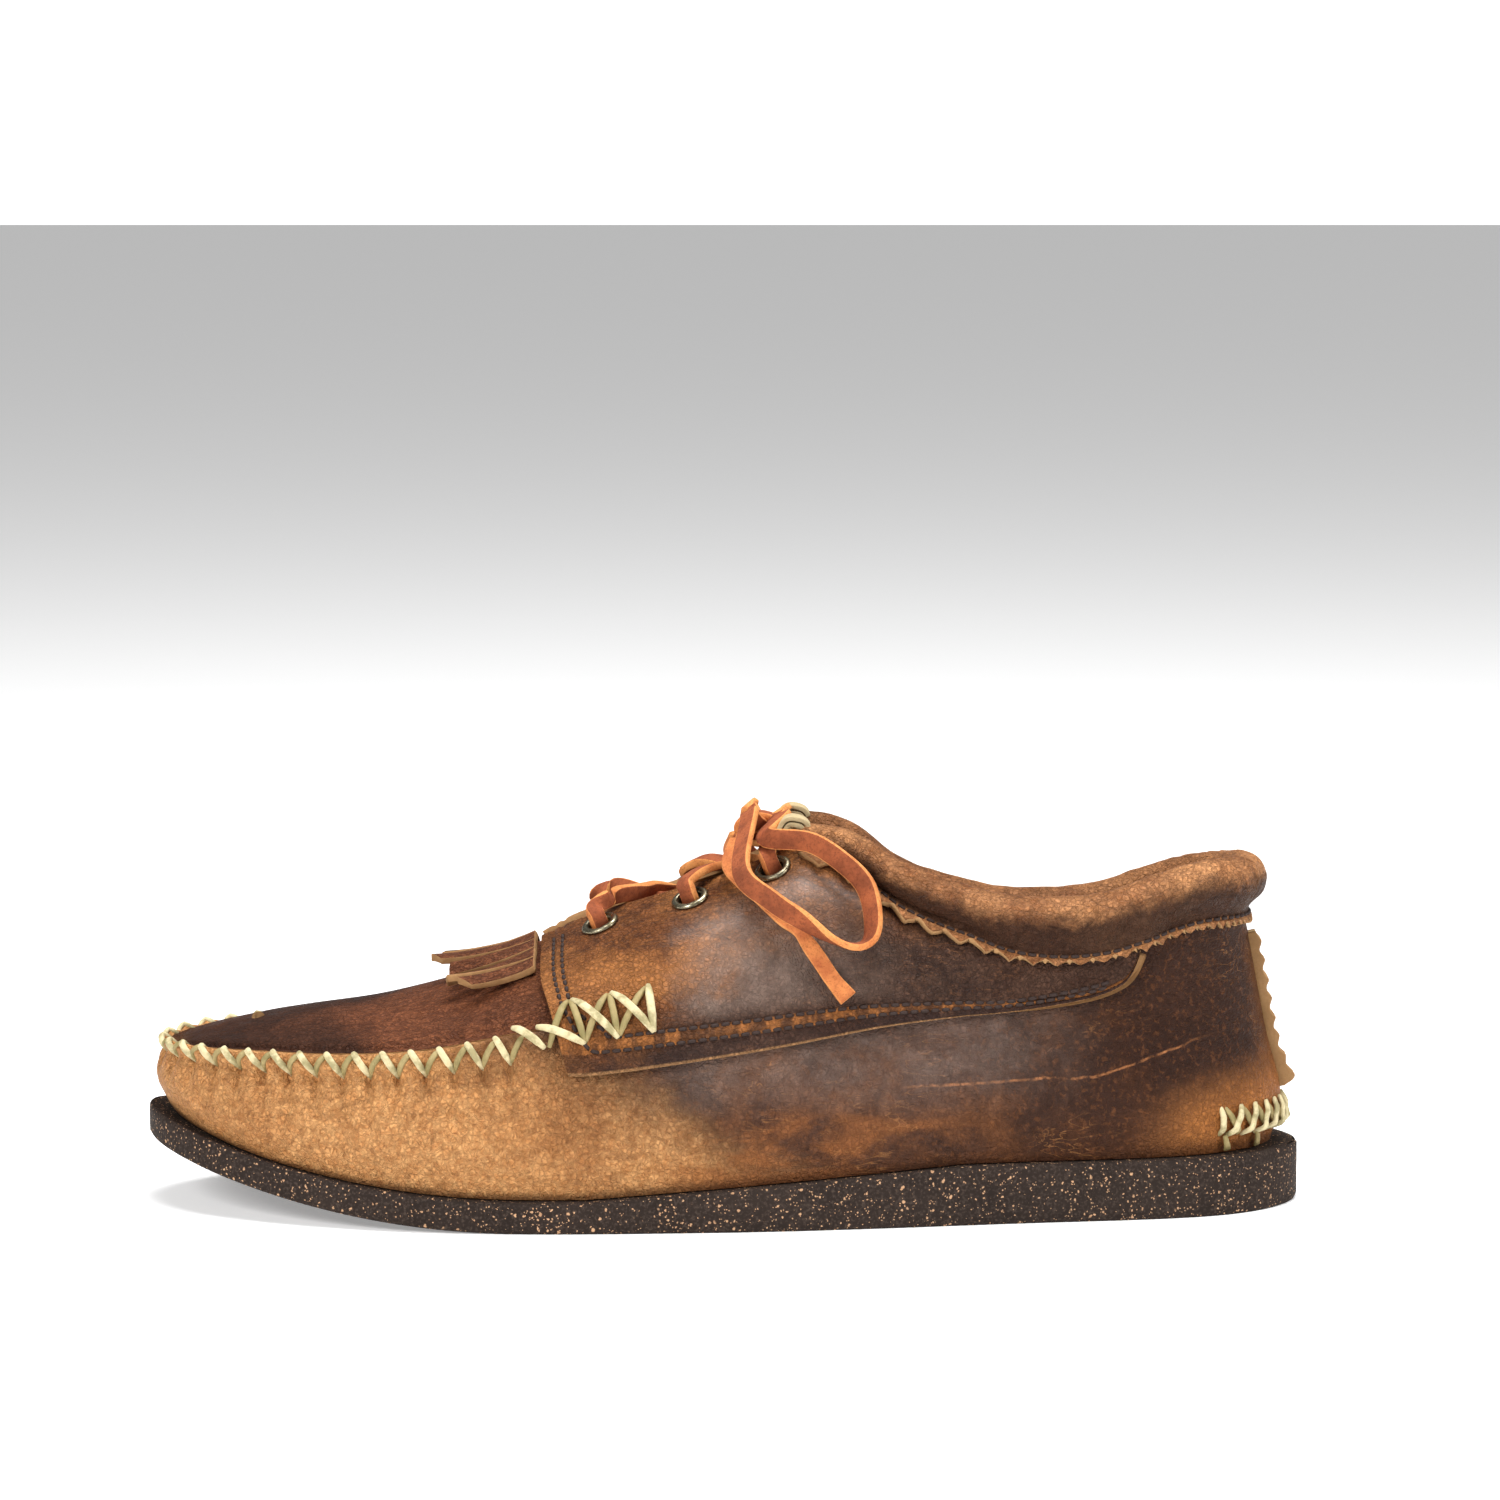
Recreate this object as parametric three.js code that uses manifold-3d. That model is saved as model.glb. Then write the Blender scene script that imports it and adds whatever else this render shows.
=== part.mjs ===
// A left laced moccasin on a cork-rubber wedge sole, as an assembly of its separate pieces.
// Millimetres. +Z is up, the tread stands on z = 0, the toe points along -X and the outer
// (lateral) side of the foot is -Y. Every leather piece is a patch of one foot form, moved out
// or in by its own layer, so the layers stay clear of each other when a size changes.
import * as THREE from 'three';
import { mergeVertices } from 'three/addons/utils/BufferGeometryUtils.js';
import Module from 'manifold-3d';

const wasm = await Module();
wasm.setup();

// ---------------------------------------------------------------- driving dimensions
const soleLength = 300;
const soleWidth = 104;
const soleForeThickness = 8;
const soleHeelThickness = 15.2;
const toeSpring = 17;
const bodyLeather = 2;
const apronLeather = 2;
const quarterLeather = 2;
const kiltieLeather = 2.2;
const tongueLeather = 1.8;
const counterBoard = 1.4;
const liningLeather = 1;
const footbedThickness = 3;
const collarRadius = 6.2;
const collarLeather = 1.5;
const collarSkirt = 5.2;
const pinkDepth = 1.8;
const pinkTeeth = 58;
const eyeletWall = 0.45;
const laceThickness = 3;
const eyeletBore = laceThickness;
const eyeletFlange = eyeletBore + 2;
const sewingCord = 1.5;
const machineThread = 0.8;
const stitchPitch = 7.4;
const seamStrip = 2.6;
const seamStripProud = 3;
const gap = 0.3;

// ---------------------------------------------------------------- small mathematics
const halfLength = soleLength / 2;
const degrees = THREE.MathUtils.degToRad;
const mix = THREE.MathUtils.lerp;
const ease = THREE.MathUtils.smoothstep;

// A smooth function through [station, value] pairs, level outside them.
function through(pairs) {
  const slope = (i) => {
    const a = pairs[Math.max(i - 1, 0)];
    const b = pairs[Math.min(i + 1, pairs.length - 1)];
    return (b[1] - a[1]) / (b[0] - a[0]);
  };
  return (s) => {
    if (s <= pairs[0][0]) return pairs[0][1];
    if (s >= pairs.at(-1)[0]) return pairs.at(-1)[1];
    const i = pairs.findIndex((p) => p[0] > s) - 1;
    const span = pairs[i + 1][0] - pairs[i][0];
    const u = (s - pairs[i][0]) / span;
    return hermite(pairs[i][1], pairs[i + 1][1], slope(i) * span, slope(i + 1) * span, u);
  };
}

function hermite(a, b, slopeA, slopeB, u) {
  const u2 = u * u;
  const u3 = u2 * u;
  return (2 * u3 - 3 * u2 + 1) * a + (u3 - 2 * u2 + u) * slopeA
    + (3 * u2 - 2 * u3) * b + (u3 - u2) * slopeB;
}

// ---------------------------------------------------------------- the sole's plan and side view
// Half-widths every 30 degrees round the sole, as shares of half its width: heel, outer side,
// toe, inner side. The angle sets the station: x = half length times its cosine.
const planShares = [0.04, -0.5, -0.73, -0.96, -0.96, -0.54, 0.08, 0.65, 1, 0.76, 0.65, 0.56];

function planShare(angle) {
  const n = planShares.length;
  const at = (((angle / (2 * Math.PI)) * n) % n + n) % n;
  const i = Math.floor(at);
  const [p, a, b, q] = [-1, 0, 1, 2].map((k) => planShares[(i + k + n) % n]);
  return hermite(a, b, (b - p) / 2, (q - a) / 2, at - i);
}

const planSamples = Array.from({ length: 720 }, (_, i) => planShare(degrees(i / 2)));
const planMiddle = (Math.max(...planSamples) + Math.min(...planSamples)) / 2;
const planReach = (Math.max(...planSamples) - Math.min(...planSamples)) / 2;

function soleEdge(angle) {
  const y = ((planShare(angle) - planMiddle) / planReach) * (soleWidth / 2);
  return new THREE.Vector2(halfLength * Math.cos(angle), y);
}

const springStart = -halfLength / 3;
const wedgeStart = -0.233 * halfLength;
const wedgeEnd = 0.413 * halfLength;

function treadHeight(x) {
  const ahead = Math.max(0, (springStart - x) / (springStart + halfLength));
  return toeSpring * ahead * ahead;
}

function soleTop(x) {
  const wedge = THREE.MathUtils.clamp((x - wedgeStart) / (wedgeEnd - wedgeStart), 0, 1);
  return treadHeight(x) + mix(soleForeThickness, soleHeelThickness, wedge);
}

// ---------------------------------------------------------------- the foot form
// The form's girth at a station runs from the feather edge over five points: feather, bulge,
// seam, instep and rim. Each has an inset from the sole's edge and a height above the sole.
const instepShift = through([[-1, 0], [-0.4, 1.5], [0, 4], [0.3, 3], [0.7, 0]]);
const mouthHalf = through([[-0.37, 0], [-0.3, 3.5], [-0.233, 6], [0, 9], [0.133, 11.5], [0.2, 15],
  [0.3, 20], [0.45, 24.5], [0.55, 26], [0.7, 25.5], [0.85, 23], [1, 21.2]]);
const girth = [
  { inset: through([[-1, 5], [-0.8, 4], [0.7, 4], [1, 7]]), rise: () => gap },
  { inset: through([[-1, 2], [-0.5, 1.5], [0, 1.8], [0.5, 2.5], [1, 4.5]]),
    rise: through([[-1, 8], [-0.8, 9], [-0.5, 13], [0, 14], [0.5, 13], [1, 13]]) },
  { inset: through([[-1, 6], [-0.8, 8], [-0.5, 9.5], [-0.333, 9], [0, 7], [0.3, 6], [0.7, 5.5], [1, 8.3]]),
    rise: through([[-1, 16], [-0.933, 20.1], [-0.8, 26.5], [-0.667, 31.1], [-0.5, 36.4], [-0.333, 42.6],
      [-0.233, 43.6], [0, 42.6], [0.2, 39], [0.3, 36], [0.45, 31], [0.55, 28], [1, 29]]) },
  { inset: through([[-1, 17], [-0.8, 20], [-0.667, 24], [-0.5, 27], [-0.333, 26], [-0.233, 25],
      [0, 20], [0.133, 19], [0.2, 17], [0.3, 12.5], [0.45, 9], [0.7, 7.5], [0.85, 9], [1, 11.5]]),
    rise: through([[-1, 18.4], [-0.933, 22.2], [-0.8, 28.9], [-0.667, 34.6], [-0.5, 41.6],
      [-0.333, 50.6], [-0.233, 57], [0, 63.5], [0.133, 68], [0.2, 65], [0.3, 56.5], [0.45, 47],
      [0.55, 43], [0.7, 43], [0.85, 46], [1, 45.5]]) },
  { rise: through([[-1, 20.2], [-0.933, 23.5], [-0.8, 30.4], [-0.667, 37.2], [-0.5, 45.6],
      [-0.333, 57], [-0.233, 64.5], [0, 73.5], [0.1, 79], [0.133, 81], [0.2, 77], [0.3, 65.5],
      [0.45, 56.8], [0.55, 55.2], [0.65, 56.5], [0.74, 60.5], [0.85, 63.6], [1, 63]]) },
];
// The rim is a little lower on the inner side of the foot than on the outer side.
const innerRimDrop = 5;
const innerDrop = (angle) => innerRimDrop * ease(Math.cos(angle), 0.13, 0.36) * ease(-Math.sin(angle), 0.05, 0.75);
const fanStart = [-0.667, 0.613];
const fanReach = 22;

// The point of the form's middle line that the girth at this angle runs towards. At the toe and
// heel the girths fan out from a short stretch of that line.
function middleOf(angle) {
  const x = halfLength * Math.cos(angle);
  const [toe, heel] = fanStart.map((s) => s * halfLength);
  let cx = x;
  if (x < toe) cx = toe - fanReach * Math.tanh((toe - x) / fanReach);
  if (x > heel) cx = heel + fanReach * Math.tanh((x - heel) / fanReach);
  const across = Math.acos(cx / halfLength);
  const cy = (soleEdge(across).y + soleEdge(-across).y) / 2;
  return new THREE.Vector2(cx, cy + instepShift(cx / halfLength));
}

// A point of the form: angle round the sole, t from 0 at the feather edge to 1 at the rim.
function form(angle, t) {
  const edge = soleEdge(angle);
  const middle = middleOf(angle);
  const half = edge.distanceTo(middle);
  const s = Math.cos(angle);
  const mouth = mouthHalf(s);
  const inset = girth.map((g) => (g.inset ? g.inset(s) : half - mouth));
  const rise = girth.map((g) => g.rise(s));
  rise[4] -= innerDrop(angle);
  rise[3] -= 0.35 * innerDrop(angle);
  const i = Math.min(3, Math.floor(t * 4));
  const run = (v, j) => (v[Math.min(j + 1, 4)] - v[Math.max(j - 1, 0)]) / (j % 4 ? 2 : 1);
  const flat = Math.min(1, mouth / 6);
  const d = hermite(inset[i], inset[i + 1], run(inset, i), run(inset, i + 1), t * 4 - i);
  const endRun = run(rise, i + 1) * (i === 3 ? flat : 1);
  const z = hermite(rise[i], rise[i + 1], run(rise, i), endRun, t * 4 - i);
  const plan = edge.clone().lerp(middle, d / half);
  return new THREE.Vector3(plan.x, plan.y, soleTop(edge.x) + z);
}

function formNormal(angle, t) {
  const e = 1e-3;
  const along = form(angle + e, t).sub(form(angle - e, t));
  const up = form(angle, Math.min(1, t + e)).sub(form(angle, Math.max(0, t - e)));
  return up.cross(along).normalize();
}

// A point in a layer of the form: lift is the way out from its surface.
function layer(angle, t, lift) {
  return form(angle, t).addScaledVector(formNormal(angle, t), lift);
}

const angleAt = (x) => Math.acos(THREE.MathUtils.clamp(x / halfLength, -1, 1));
const OUTER = 1;
const INNER = -1;

// The t at which the form reaches a height over the sole on the girth at this angle.
function tAtRise(angle, rise) {
  let [low, high] = [0, 1];
  for (let k = 0; k < 24; k += 1) {
    const t = (low + high) / 2;
    if (form(angle, t).z - soleTop(halfLength * Math.cos(angle)) < rise) low = t;
    else high = t;
  }
  return low;
}

// ---------------------------------------------------------------- solids from sheets and sections
const toMesh = (geometry) => {
  const plain = geometry.index ? geometry.toNonIndexed() : geometry;
  const bare = new THREE.BufferGeometry().setAttribute('position', plain.getAttribute('position'));
  const merged = mergeVertices(bare, 1e-3);
  return new wasm.Mesh({
    numProp: 3,
    vertProperties: merged.attributes.position.array,
    triVerts: new Uint32Array(merged.index.array),
  });
};
const toSolid = (geometry) => new wasm.Manifold(toMesh(geometry));

function toGeometry(solid) {
  const mesh = solid.getMesh();
  const geometry = new THREE.BufferGeometry();
  geometry.setAttribute('position', new THREE.BufferAttribute(mesh.vertProperties, mesh.numProp));
  geometry.setIndex(new THREE.BufferAttribute(mesh.triVerts, 1));
  return geometry;
}

// Triangles of a grid of points, rows of equal length.
function gridTriangles(rows) {
  const points = [];
  for (let r = 0; r + 1 < rows.length; r += 1) {
    for (let c = 0; c + 1 < rows[r].length; c += 1) {
      const [a, b, d, e] = [rows[r][c], rows[r][c + 1], rows[r + 1][c], rows[r + 1][c + 1]];
      points.push(a, b, e, a, e, d);
    }
  }
  return points;
}

// A closed solid from a sheet of triangles whose outside is on the left of their turn: the sheet
// itself is the outer face, and the inner face lies a thickness below it.
function thicken(points, thickness) {
  const sheet = mergeVertices(new THREE.BufferGeometry().setFromPoints(points), 1e-3);
  const index = Array.from(sheet.index.array);
  const triangles = [];
  for (let i = 0; i < index.length; i += 3) {
    const t = index.slice(i, i + 3);
    if (new Set(t).size === 3) triangles.push(t);
  }
  sheet.setIndex(triangles.flat());
  sheet.computeVertexNormals();
  const { position, normal } = sheet.attributes;
  const vertices = [];
  const corner = (i, depth) => new THREE.Vector3().fromBufferAttribute(position, i)
    .addScaledVector(new THREE.Vector3().fromBufferAttribute(normal, i), -depth);
  const edges = new Map();
  for (const [a, b, c] of triangles) {
    vertices.push(corner(a, 0), corner(b, 0), corner(c, 0));
    vertices.push(corner(a, thickness), corner(c, thickness), corner(b, thickness));
    for (const [p, q] of [[a, b], [b, c], [c, a]]) {
      if (edges.has(`${q},${p}`)) edges.delete(`${q},${p}`);
      else edges.set(`${p},${q}`, [p, q]);
    }
  }
  for (const [p, q] of edges.values()) {
    const [a, b, c, d] = [corner(p, 0), corner(q, 0), corner(q, thickness), corner(p, thickness)];
    vertices.push(b, a, d, b, d, c);
  }
  return new THREE.BufferGeometry().setFromPoints(vertices);
}

// A patch of the form between two stations on one side: rows go from the t of low to high.
function patch(columns, rows, place) {
  return Array.from({ length: columns + 1 }, (_, c) => (
    Array.from({ length: rows + 1 }, (__, r) => place(c / columns, r / rows))));
}

// A round bar along a curve.
function bar(curve, diameter, steps, sides) {
  const section = new THREE.Shape();
  for (let k = 0; k < sides; k += 1) {
    const a = (2 * Math.PI * k) / sides;
    const [x, y] = [(diameter / 2) * Math.cos(a), (diameter / 2) * Math.sin(a)];
    if (k) section.lineTo(x, y);
    else section.moveTo(x, y);
  }
  return new THREE.ExtrudeGeometry(section, { steps, extrudePath: curve, bevelEnabled: false });
}

const curveOf = (points) => new THREE.CatmullRomCurve3(points, false, 'centripetal');

const moccasin = new THREE.Group();
const finish = {
  pullUp: { color: 0x5a3622, roughness: 0.5, metalness: 0 },
  tan: { color: 0xb57b43, roughness: 0.6, metalness: 0 },
  lace: { color: 0xa4532a, roughness: 0.75, metalness: 0 },
  cork: { color: 0x3f3832, roughness: 0.85, metalness: 0 },
  cord: { color: 0xd8cd98, roughness: 0.6, metalness: 0 },
  brass: { color: 0x8e8468, roughness: 0.35, metalness: 1 },
  foam: { color: 0xcfc7b4, roughness: 0.95, metalness: 0 },
  board: { color: 0x9a8058, roughness: 0.9, metalness: 0 },
  thread: { color: 0x1c1410, roughness: 0.7, metalness: 0 },
};
const materials = Object.fromEntries(
  Object.entries(finish).map(([name, look]) => [name, new THREE.MeshStandardMaterial(look)]),
);

function add(name, geometry, material) {
  const mesh = new THREE.Mesh(geometry, materials[material]);
  mesh.name = name;
  moccasin.add(mesh);
  return mesh;
}

// ---------------------------------------------------------------- outsole
// One slab of cork-flecked rubber: level under the ball, waist and heel, turned up at the toe.
function outsole() {
  const count = 44;
  const lower = [];
  const upper = [];
  for (let i = 0; i <= count; i += 1) {
    const angle = (Math.PI * i) / count;
    const pair = [soleEdge(angle), soleEdge(-angle)];
    lower.push(pair.map((p) => new THREE.Vector3(p.x, p.y, treadHeight(p.x))));
    upper.push(pair.map((p) => new THREE.Vector3(p.x, p.y, soleTop(p.x))));
  }
  const walls = [0, 1].map((side) => {
    const rows = lower.map((row, i) => [row[side], upper[i][side]]);
    return gridTriangles(side ? rows.reverse() : rows);
  });
  const faces = [...gridTriangles(upper), ...gridTriangles(lower.reverse()), ...walls.flat()];
  add('outsole', new THREE.BufferGeometry().setFromPoints(faces), 'cork');
}

// ---------------------------------------------------------------- moccasin body
// The one piece of leather that lies under the foot and comes up all round: to the apron seam at
// the front, under the quarters at the instep, and to the collar at the back.
const seamT = 0.5;
const seamHalfGap = 0.018;
const rimClearance = 0.8;
const bodyEdge = through([[-0.3, seamT - seamHalfGap], [-0.2, 0.55], [0, 0.64], [0.12, 0.72],
  [0.2, 0.84], [0.28, 1]]);

const rimRise = (angle) => girth[4].rise(Math.cos(angle)) - innerDrop(angle);
const underRoll = (angle) => tAtRise(angle, rimRise(angle) - rimClearance);
const bodyTop = (angle) => Math.min(bodyEdge(Math.cos(angle)), underRoll(angle));

const bodyRows = 9;
const underfoot = 3 / bodyRows;

function bodyPoint(angle, share) {
  if (share > underfoot) {
    return form(angle, ((share - underfoot) / (1 - underfoot)) * bodyTop(angle));
  }
  const feather = form(angle, 0);
  const middle = middleOf(angle);
  const out = share / underfoot;
  const plan = middle.clone().lerp(new THREE.Vector2(feather.x, feather.y), out);
  return new THREE.Vector3(plan.x, plan.y, soleTop(plan.x) + gap);
}

function moccasinBody() {
  const rows = patch(64, bodyRows, (u, v) => bodyPoint(2 * Math.PI * u, v));
  add('moccasin_body', thicken(gridTriangles(rows), bodyLeather), 'tan');
}

// ---------------------------------------------------------------- footbed, counter and lining
// A leather-covered footbed board on the body's floor, a stiff counter cupping the heel, and a
// thin lining inside both, from the heel forward to the lacing.
function footbed() {
  const inset = 3 * gap + bodyLeather;
  const low = bodyLeather + 3 * gap;
  const outline = (angle) => {
    const f = form(angle, 0);
    const middle = middleOf(angle);
    const away = middle.clone().sub(new THREE.Vector2(f.x, f.y)).normalize();
    return new THREE.Vector2(f.x, f.y).addScaledVector(away, inset);
  };
  const rows = patch(44, 2, (u, v) => {
    const angle = 2 * Math.PI * u;
    const middle = middleOf(angle);
    const plan = middle.clone().lerp(outline(angle), 1 - v);
    return new THREE.Vector3(plan.x, plan.y, soleTop(plan.x) + low + footbedThickness);
  });
  add('footbed', thicken(gridTriangles(rows), footbedThickness), 'board');
}

const counterFront = 0.5;
const counterRise = [6.8, 40];

function heelCounter() {
  const reach = angleAt(counterFront * halfLength);
  const rows = patch(26, 4, (u, v) => {
    const angle = mix(-reach, reach, u);
    const rise = mix(counterRise[0], counterRise[1] - 8 * (2 * u - 1) ** 2, v);
    return layer(angle, tAtRise(angle, rise), -bodyLeather - 3 * gap);
  });
  add('heel_counter', thicken(gridTriangles(rows), counterBoard), 'board');
}

const liningFront = 0.28;

function quarterLining() {
  const reach = angleAt(liningFront * halfLength);
  const rows = patch(48, 5, (u, v) => {
    const angle = mix(-reach, reach, u);
    const rise = mix(8, rimRise(angle) - 3 * rimClearance, v);
    const past = ease(Math.cos(angle), counterFront - 0.12, counterFront - 0.02);
    const over = past * (1 - ease(rise, counterRise[1], counterRise[1] + 9)) * (counterBoard + 3 * gap);
    return layer(angle, tAtRise(angle, rise), -bodyLeather - 3.8 * gap - over);
  });
  add('quarter_lining', thicken(gridTriangles(rows), liningLeather), 'tan');
}

// ---------------------------------------------------------------- apron, tongue and kiltie
// Pieces that cross the top of the foot. v runs from -1 on the outer side to 1 on the inner side;
// reach is how far down the form, in t, the piece comes. Between the two rims it arches across.
const tLength = 96;
const throatArch = 0.1;

function across(s, v, reach, lift) {
  const angle = angleAt(s * halfLength);
  const mouth = mouthHalf(s);
  const open = mouth / (mouth + reach * tLength);
  const w = Math.abs(v);
  const sided = (side) => (side < 0 ? angle : 2 * Math.PI - angle);
  if (w >= open) return layer(sided(v), 1 - ((w - open) / (1 - open)) * reach, lift);
  const [a, b] = [layer(angle, 1, lift), layer(2 * Math.PI - angle, 1, lift)];
  const share = (v / open + 1) / 2;
  const arch = throatArch * a.distanceTo(b) * 4 * share * (1 - share);
  return a.lerp(b, share).add(new THREE.Vector3(0, 0, arch));
}

const apronBack = -0.235;

function apron() {
  const end = angleAt(apronBack * halfLength);
  const rows = patch(22, 12, (u, v) => {
    const s = Math.cos(mix(end, Math.PI, u));
    return across(s, 2 * v - 1, 1 - bodyEdge(s) - 2 * seamHalfGap, 0);
  });
  add('apron', thicken(gridTriangles(rows), apronLeather), 'pullUp');
}

const tongueDepth = laceThickness + 1.8;

function tongue() {
  const reach = 0.2;
  const rows = patch(16, 10, (u, v) => {
    const s = mix(0.19 - 0.03 * (2 * v - 1) ** 2, -0.33, u);
    return across(s, 2 * v - 1, reach, -tongueDepth);
  });
  add('tongue', thicken(gridTriangles(rows), tongueLeather), 'pullUp');
}

const quarterFront = -0.305;
const kiltieStrips = 8;
const kiltieReach = 0.2;
const kiltieRoot = quarterFront - 0.009;
const kiltieFan = 0.07;
const kiltieLength = 0.15;
const kiltieCurl = 4.2;

function kiltie() {
  const lengths = [0, 0.1, 0.22, 0.42, 0.62, 0.82, 1];
  const rootCells = 2;
  const cut = 0.16;
  const points = [];
  const at = (strip, side, k) => {
    const slim = 1 - cut * (0.5 + lengths[k]);
    const v = (2 * (strip + 0.5 + 0.5 * side * slim)) / kiltieStrips - 1;
    const tip = kiltieLength * (1 - 0.22 * v * v) + 0.006 * (strip % 2);
    const lift = kiltieLeather + gap + kiltieCurl * lengths[k] ** 1.4;
    return across(kiltieRoot - lengths[k] * tip, v, kiltieReach + kiltieFan * lengths[k], lift);
  };
  const cell = (strip, left, right, nextStrip, k) => {
    const [a, b] = [at(strip, left, k), at(nextStrip, right, k)];
    const [d, e] = [at(strip, left, k + 1), at(nextStrip, right, k + 1)];
    points.push(a, e, b, a, d, e);
  };
  for (let strip = 0; strip < kiltieStrips; strip += 1) {
    for (let k = 0; k + 1 < lengths.length; k += 1) {
      cell(strip, -1, 0, strip, k);
      cell(strip, 0, 1, strip, k);
      if (k < rootCells && strip + 1 < kiltieStrips) cell(strip, 1, -1, strip + 1, k);
    }
  }
  add('kiltie', thicken(points, kiltieLeather), 'pullUp');
}

// ---------------------------------------------------------------- quarters and eyelets
// The saddle quarters lie over the body from the kiltie back under the collar.
const quarterBack = 0.712;
const quarterLow = through([[-0.31, 32], [-0.21, 32], [-0.08, 33], [0.1, 35], [0.27, 37.3],
  [0.48, 38.5], [0.62, 41.5], [0.68, 45], [0.7, 48.5], [0.712, 53]]);
const quarterOut = quarterLeather + 2.4 * gap;
const cornerRound = 0.045;

const sideAngle = (side, s) => (side === OUTER ? angleAt(s * halfLength) : 2 * Math.PI - angleAt(s * halfLength));

// A point of a quarter: u from its front edge to its back, v from its lower edge to the facing.
function quarterPoint(side, u, v, lift) {
  const s = mix(quarterFront + cornerRound * (1 - v) ** 4, quarterBack, u);
  const angle = sideAngle(side, s);
  const low = tAtRise(angle, quarterLow(s));
  const roll = ease(s, 0.1, 0.16);
  return layer(angle, mix(low, mix(1, underRoll(angle), roll), v), lift);
}

const eyeletStations = [-0.204, -0.05, 0.093];
const eyeletDrop = 0.092;
const eyeletT = 1 - eyeletDrop;

function quarter(side) {
  const rows = patch(30, 8, (u, v) => quarterPoint(side, side === OUTER ? 1 - u : u, v, quarterOut));
  let solid = toSolid(thicken(gridTriangles(rows), quarterLeather));
  for (const s of eyeletStations) {
    const hole = new THREE.CylinderGeometry(1, 1, 4 * quarterLeather, 12);
    hole.scale(eyeletBore + eyeletWall + gap, 1, eyeletBore + eyeletWall + gap);
    hole.applyMatrix4(eyeletFrame(side, s));
    solid = solid.subtract(toSolid(hole));
  }
  return toGeometry(solid);
}

// The frame of an eyelet: its axis along Y, its middle in the middle of the quarter's leather.
function eyeletFrame(side, s) {
  const angle = sideAngle(side, s);
  const turn = new THREE.Quaternion()
    .setFromUnitVectors(new THREE.Vector3(0, 1, 0), formNormal(angle, eyeletT));
  const centre = layer(angle, eyeletT, 2 * gap + quarterLeather / 2);
  return new THREE.Matrix4().compose(centre, turn, new THREE.Vector3(1, 1, 1));
}

function eyelet(side, s) {
  const face = quarterLeather / 2 + gap + 0.35;
  const plate = 0.55;
  const profile = [
    [eyeletBore, -face - plate], [eyeletFlange - 0.7, -face - plate], [eyeletFlange - 0.7, -face],
    [eyeletBore + eyeletWall, -face], [eyeletBore + eyeletWall, face], [eyeletFlange, face],
    [eyeletFlange - 0.5, face + plate], [eyeletBore + 0.4, face + plate], [eyeletBore, face],
    [eyeletBore, -face - plate],
  ].map(([x, y]) => new THREE.Vector2(x, y));
  return new THREE.LatheGeometry(profile, 12).applyMatrix4(eyeletFrame(side, s));
}

// ---------------------------------------------------------------- padded collar
// A roll of foam stands on the rim from one side of the lacing round the heel to the other. Its
// leather cover comes down outside as a pinked skirt over the quarters and inside over the lining.
const collarFront = 0.135;
const collarReach = angleAt(collarFront * halfLength);
const skirtLift = (s) => collarLeather + gap + (quarterOut + gap) * (1 - ease(s, 0.72, 0.78));
const rollRadius = (s) => mix(0.58 * collarRadius, collarRadius, ease(s, collarFront, 0.27));

// A point of the roll's section: turn from the outer side over the top, radius from its centre.
function rollPoint(angle, turn, radius) {
  const edge = soleEdge(angle);
  const away = edge.clone().sub(middleOf(angle)).normalize();
  const centre = form(angle, 1);
  centre.z += rollRadius(Math.cos(angle));
  const out = radius * Math.cos(turn);
  return centre.add(new THREE.Vector3(away.x * out, away.y * out, radius * Math.sin(turn)));
}

function skirtPoint(angle, drop, lift) {
  return layer(angle, tAtRise(angle, rimRise(angle) - drop), lift + skirtLift(Math.cos(angle)));
}

function collarSection(angle) {
  const radius = rollRadius(Math.cos(angle));
  const straight = [collarSkirt - pinkDepth, 0.6].map((drop) => skirtPoint(angle, drop, 0));
  const turns = [-26, 12, 52, 92, 132, 172, 212].map((d) => rollPoint(angle, degrees(d), radius));
  const leg = turns.at(-1).clone();
  leg.z -= 4.2;
  return [...straight, ...turns, leg];
}

function collarCover() {
  const angles = Array.from({ length: pinkTeeth + 1 }, (_, i) => mix(-collarReach, collarReach, i / pinkTeeth));
  const rows = angles.map(collarSection);
  const points = gridTriangles(rows);
  for (let i = 0; i < pinkTeeth; i += 1) {
    const tip = skirtPoint((angles[i] + angles[i + 1]) / 2, collarSkirt, 0);
    points.push(rows[i][0], rows[i + 1][0], tip);
  }
  add('collar_cover', thicken(points, collarLeather), 'tan');
}

function collarFoam() {
  const count = 36;
  const inner = (s) => 0.75 * rollRadius(s) - collarLeather;
  const rings = Array.from({ length: count + 1 }, (_, i) => {
    const angle = mix(-0.985 * collarReach, 0.985 * collarReach, i / count);
    return Array.from({ length: 9 }, (__, k) => rollPoint(angle, (2 * Math.PI * k) / 8, inner(Math.cos(angle))));
  });
  const points = gridTriangles(rings);
  for (const [ring, flip] of [[rings[0], true], [rings.at(-1), false]]) {
    for (let k = 1; k < 7; k += 1) {
      points.push(...(flip ? [ring[0], ring[k + 1], ring[k]] : [ring[0], ring[k], ring[k + 1]]));
    }
  }
  add('collar_foam', new THREE.BufferGeometry().setFromPoints(points), 'foam');
}

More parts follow.
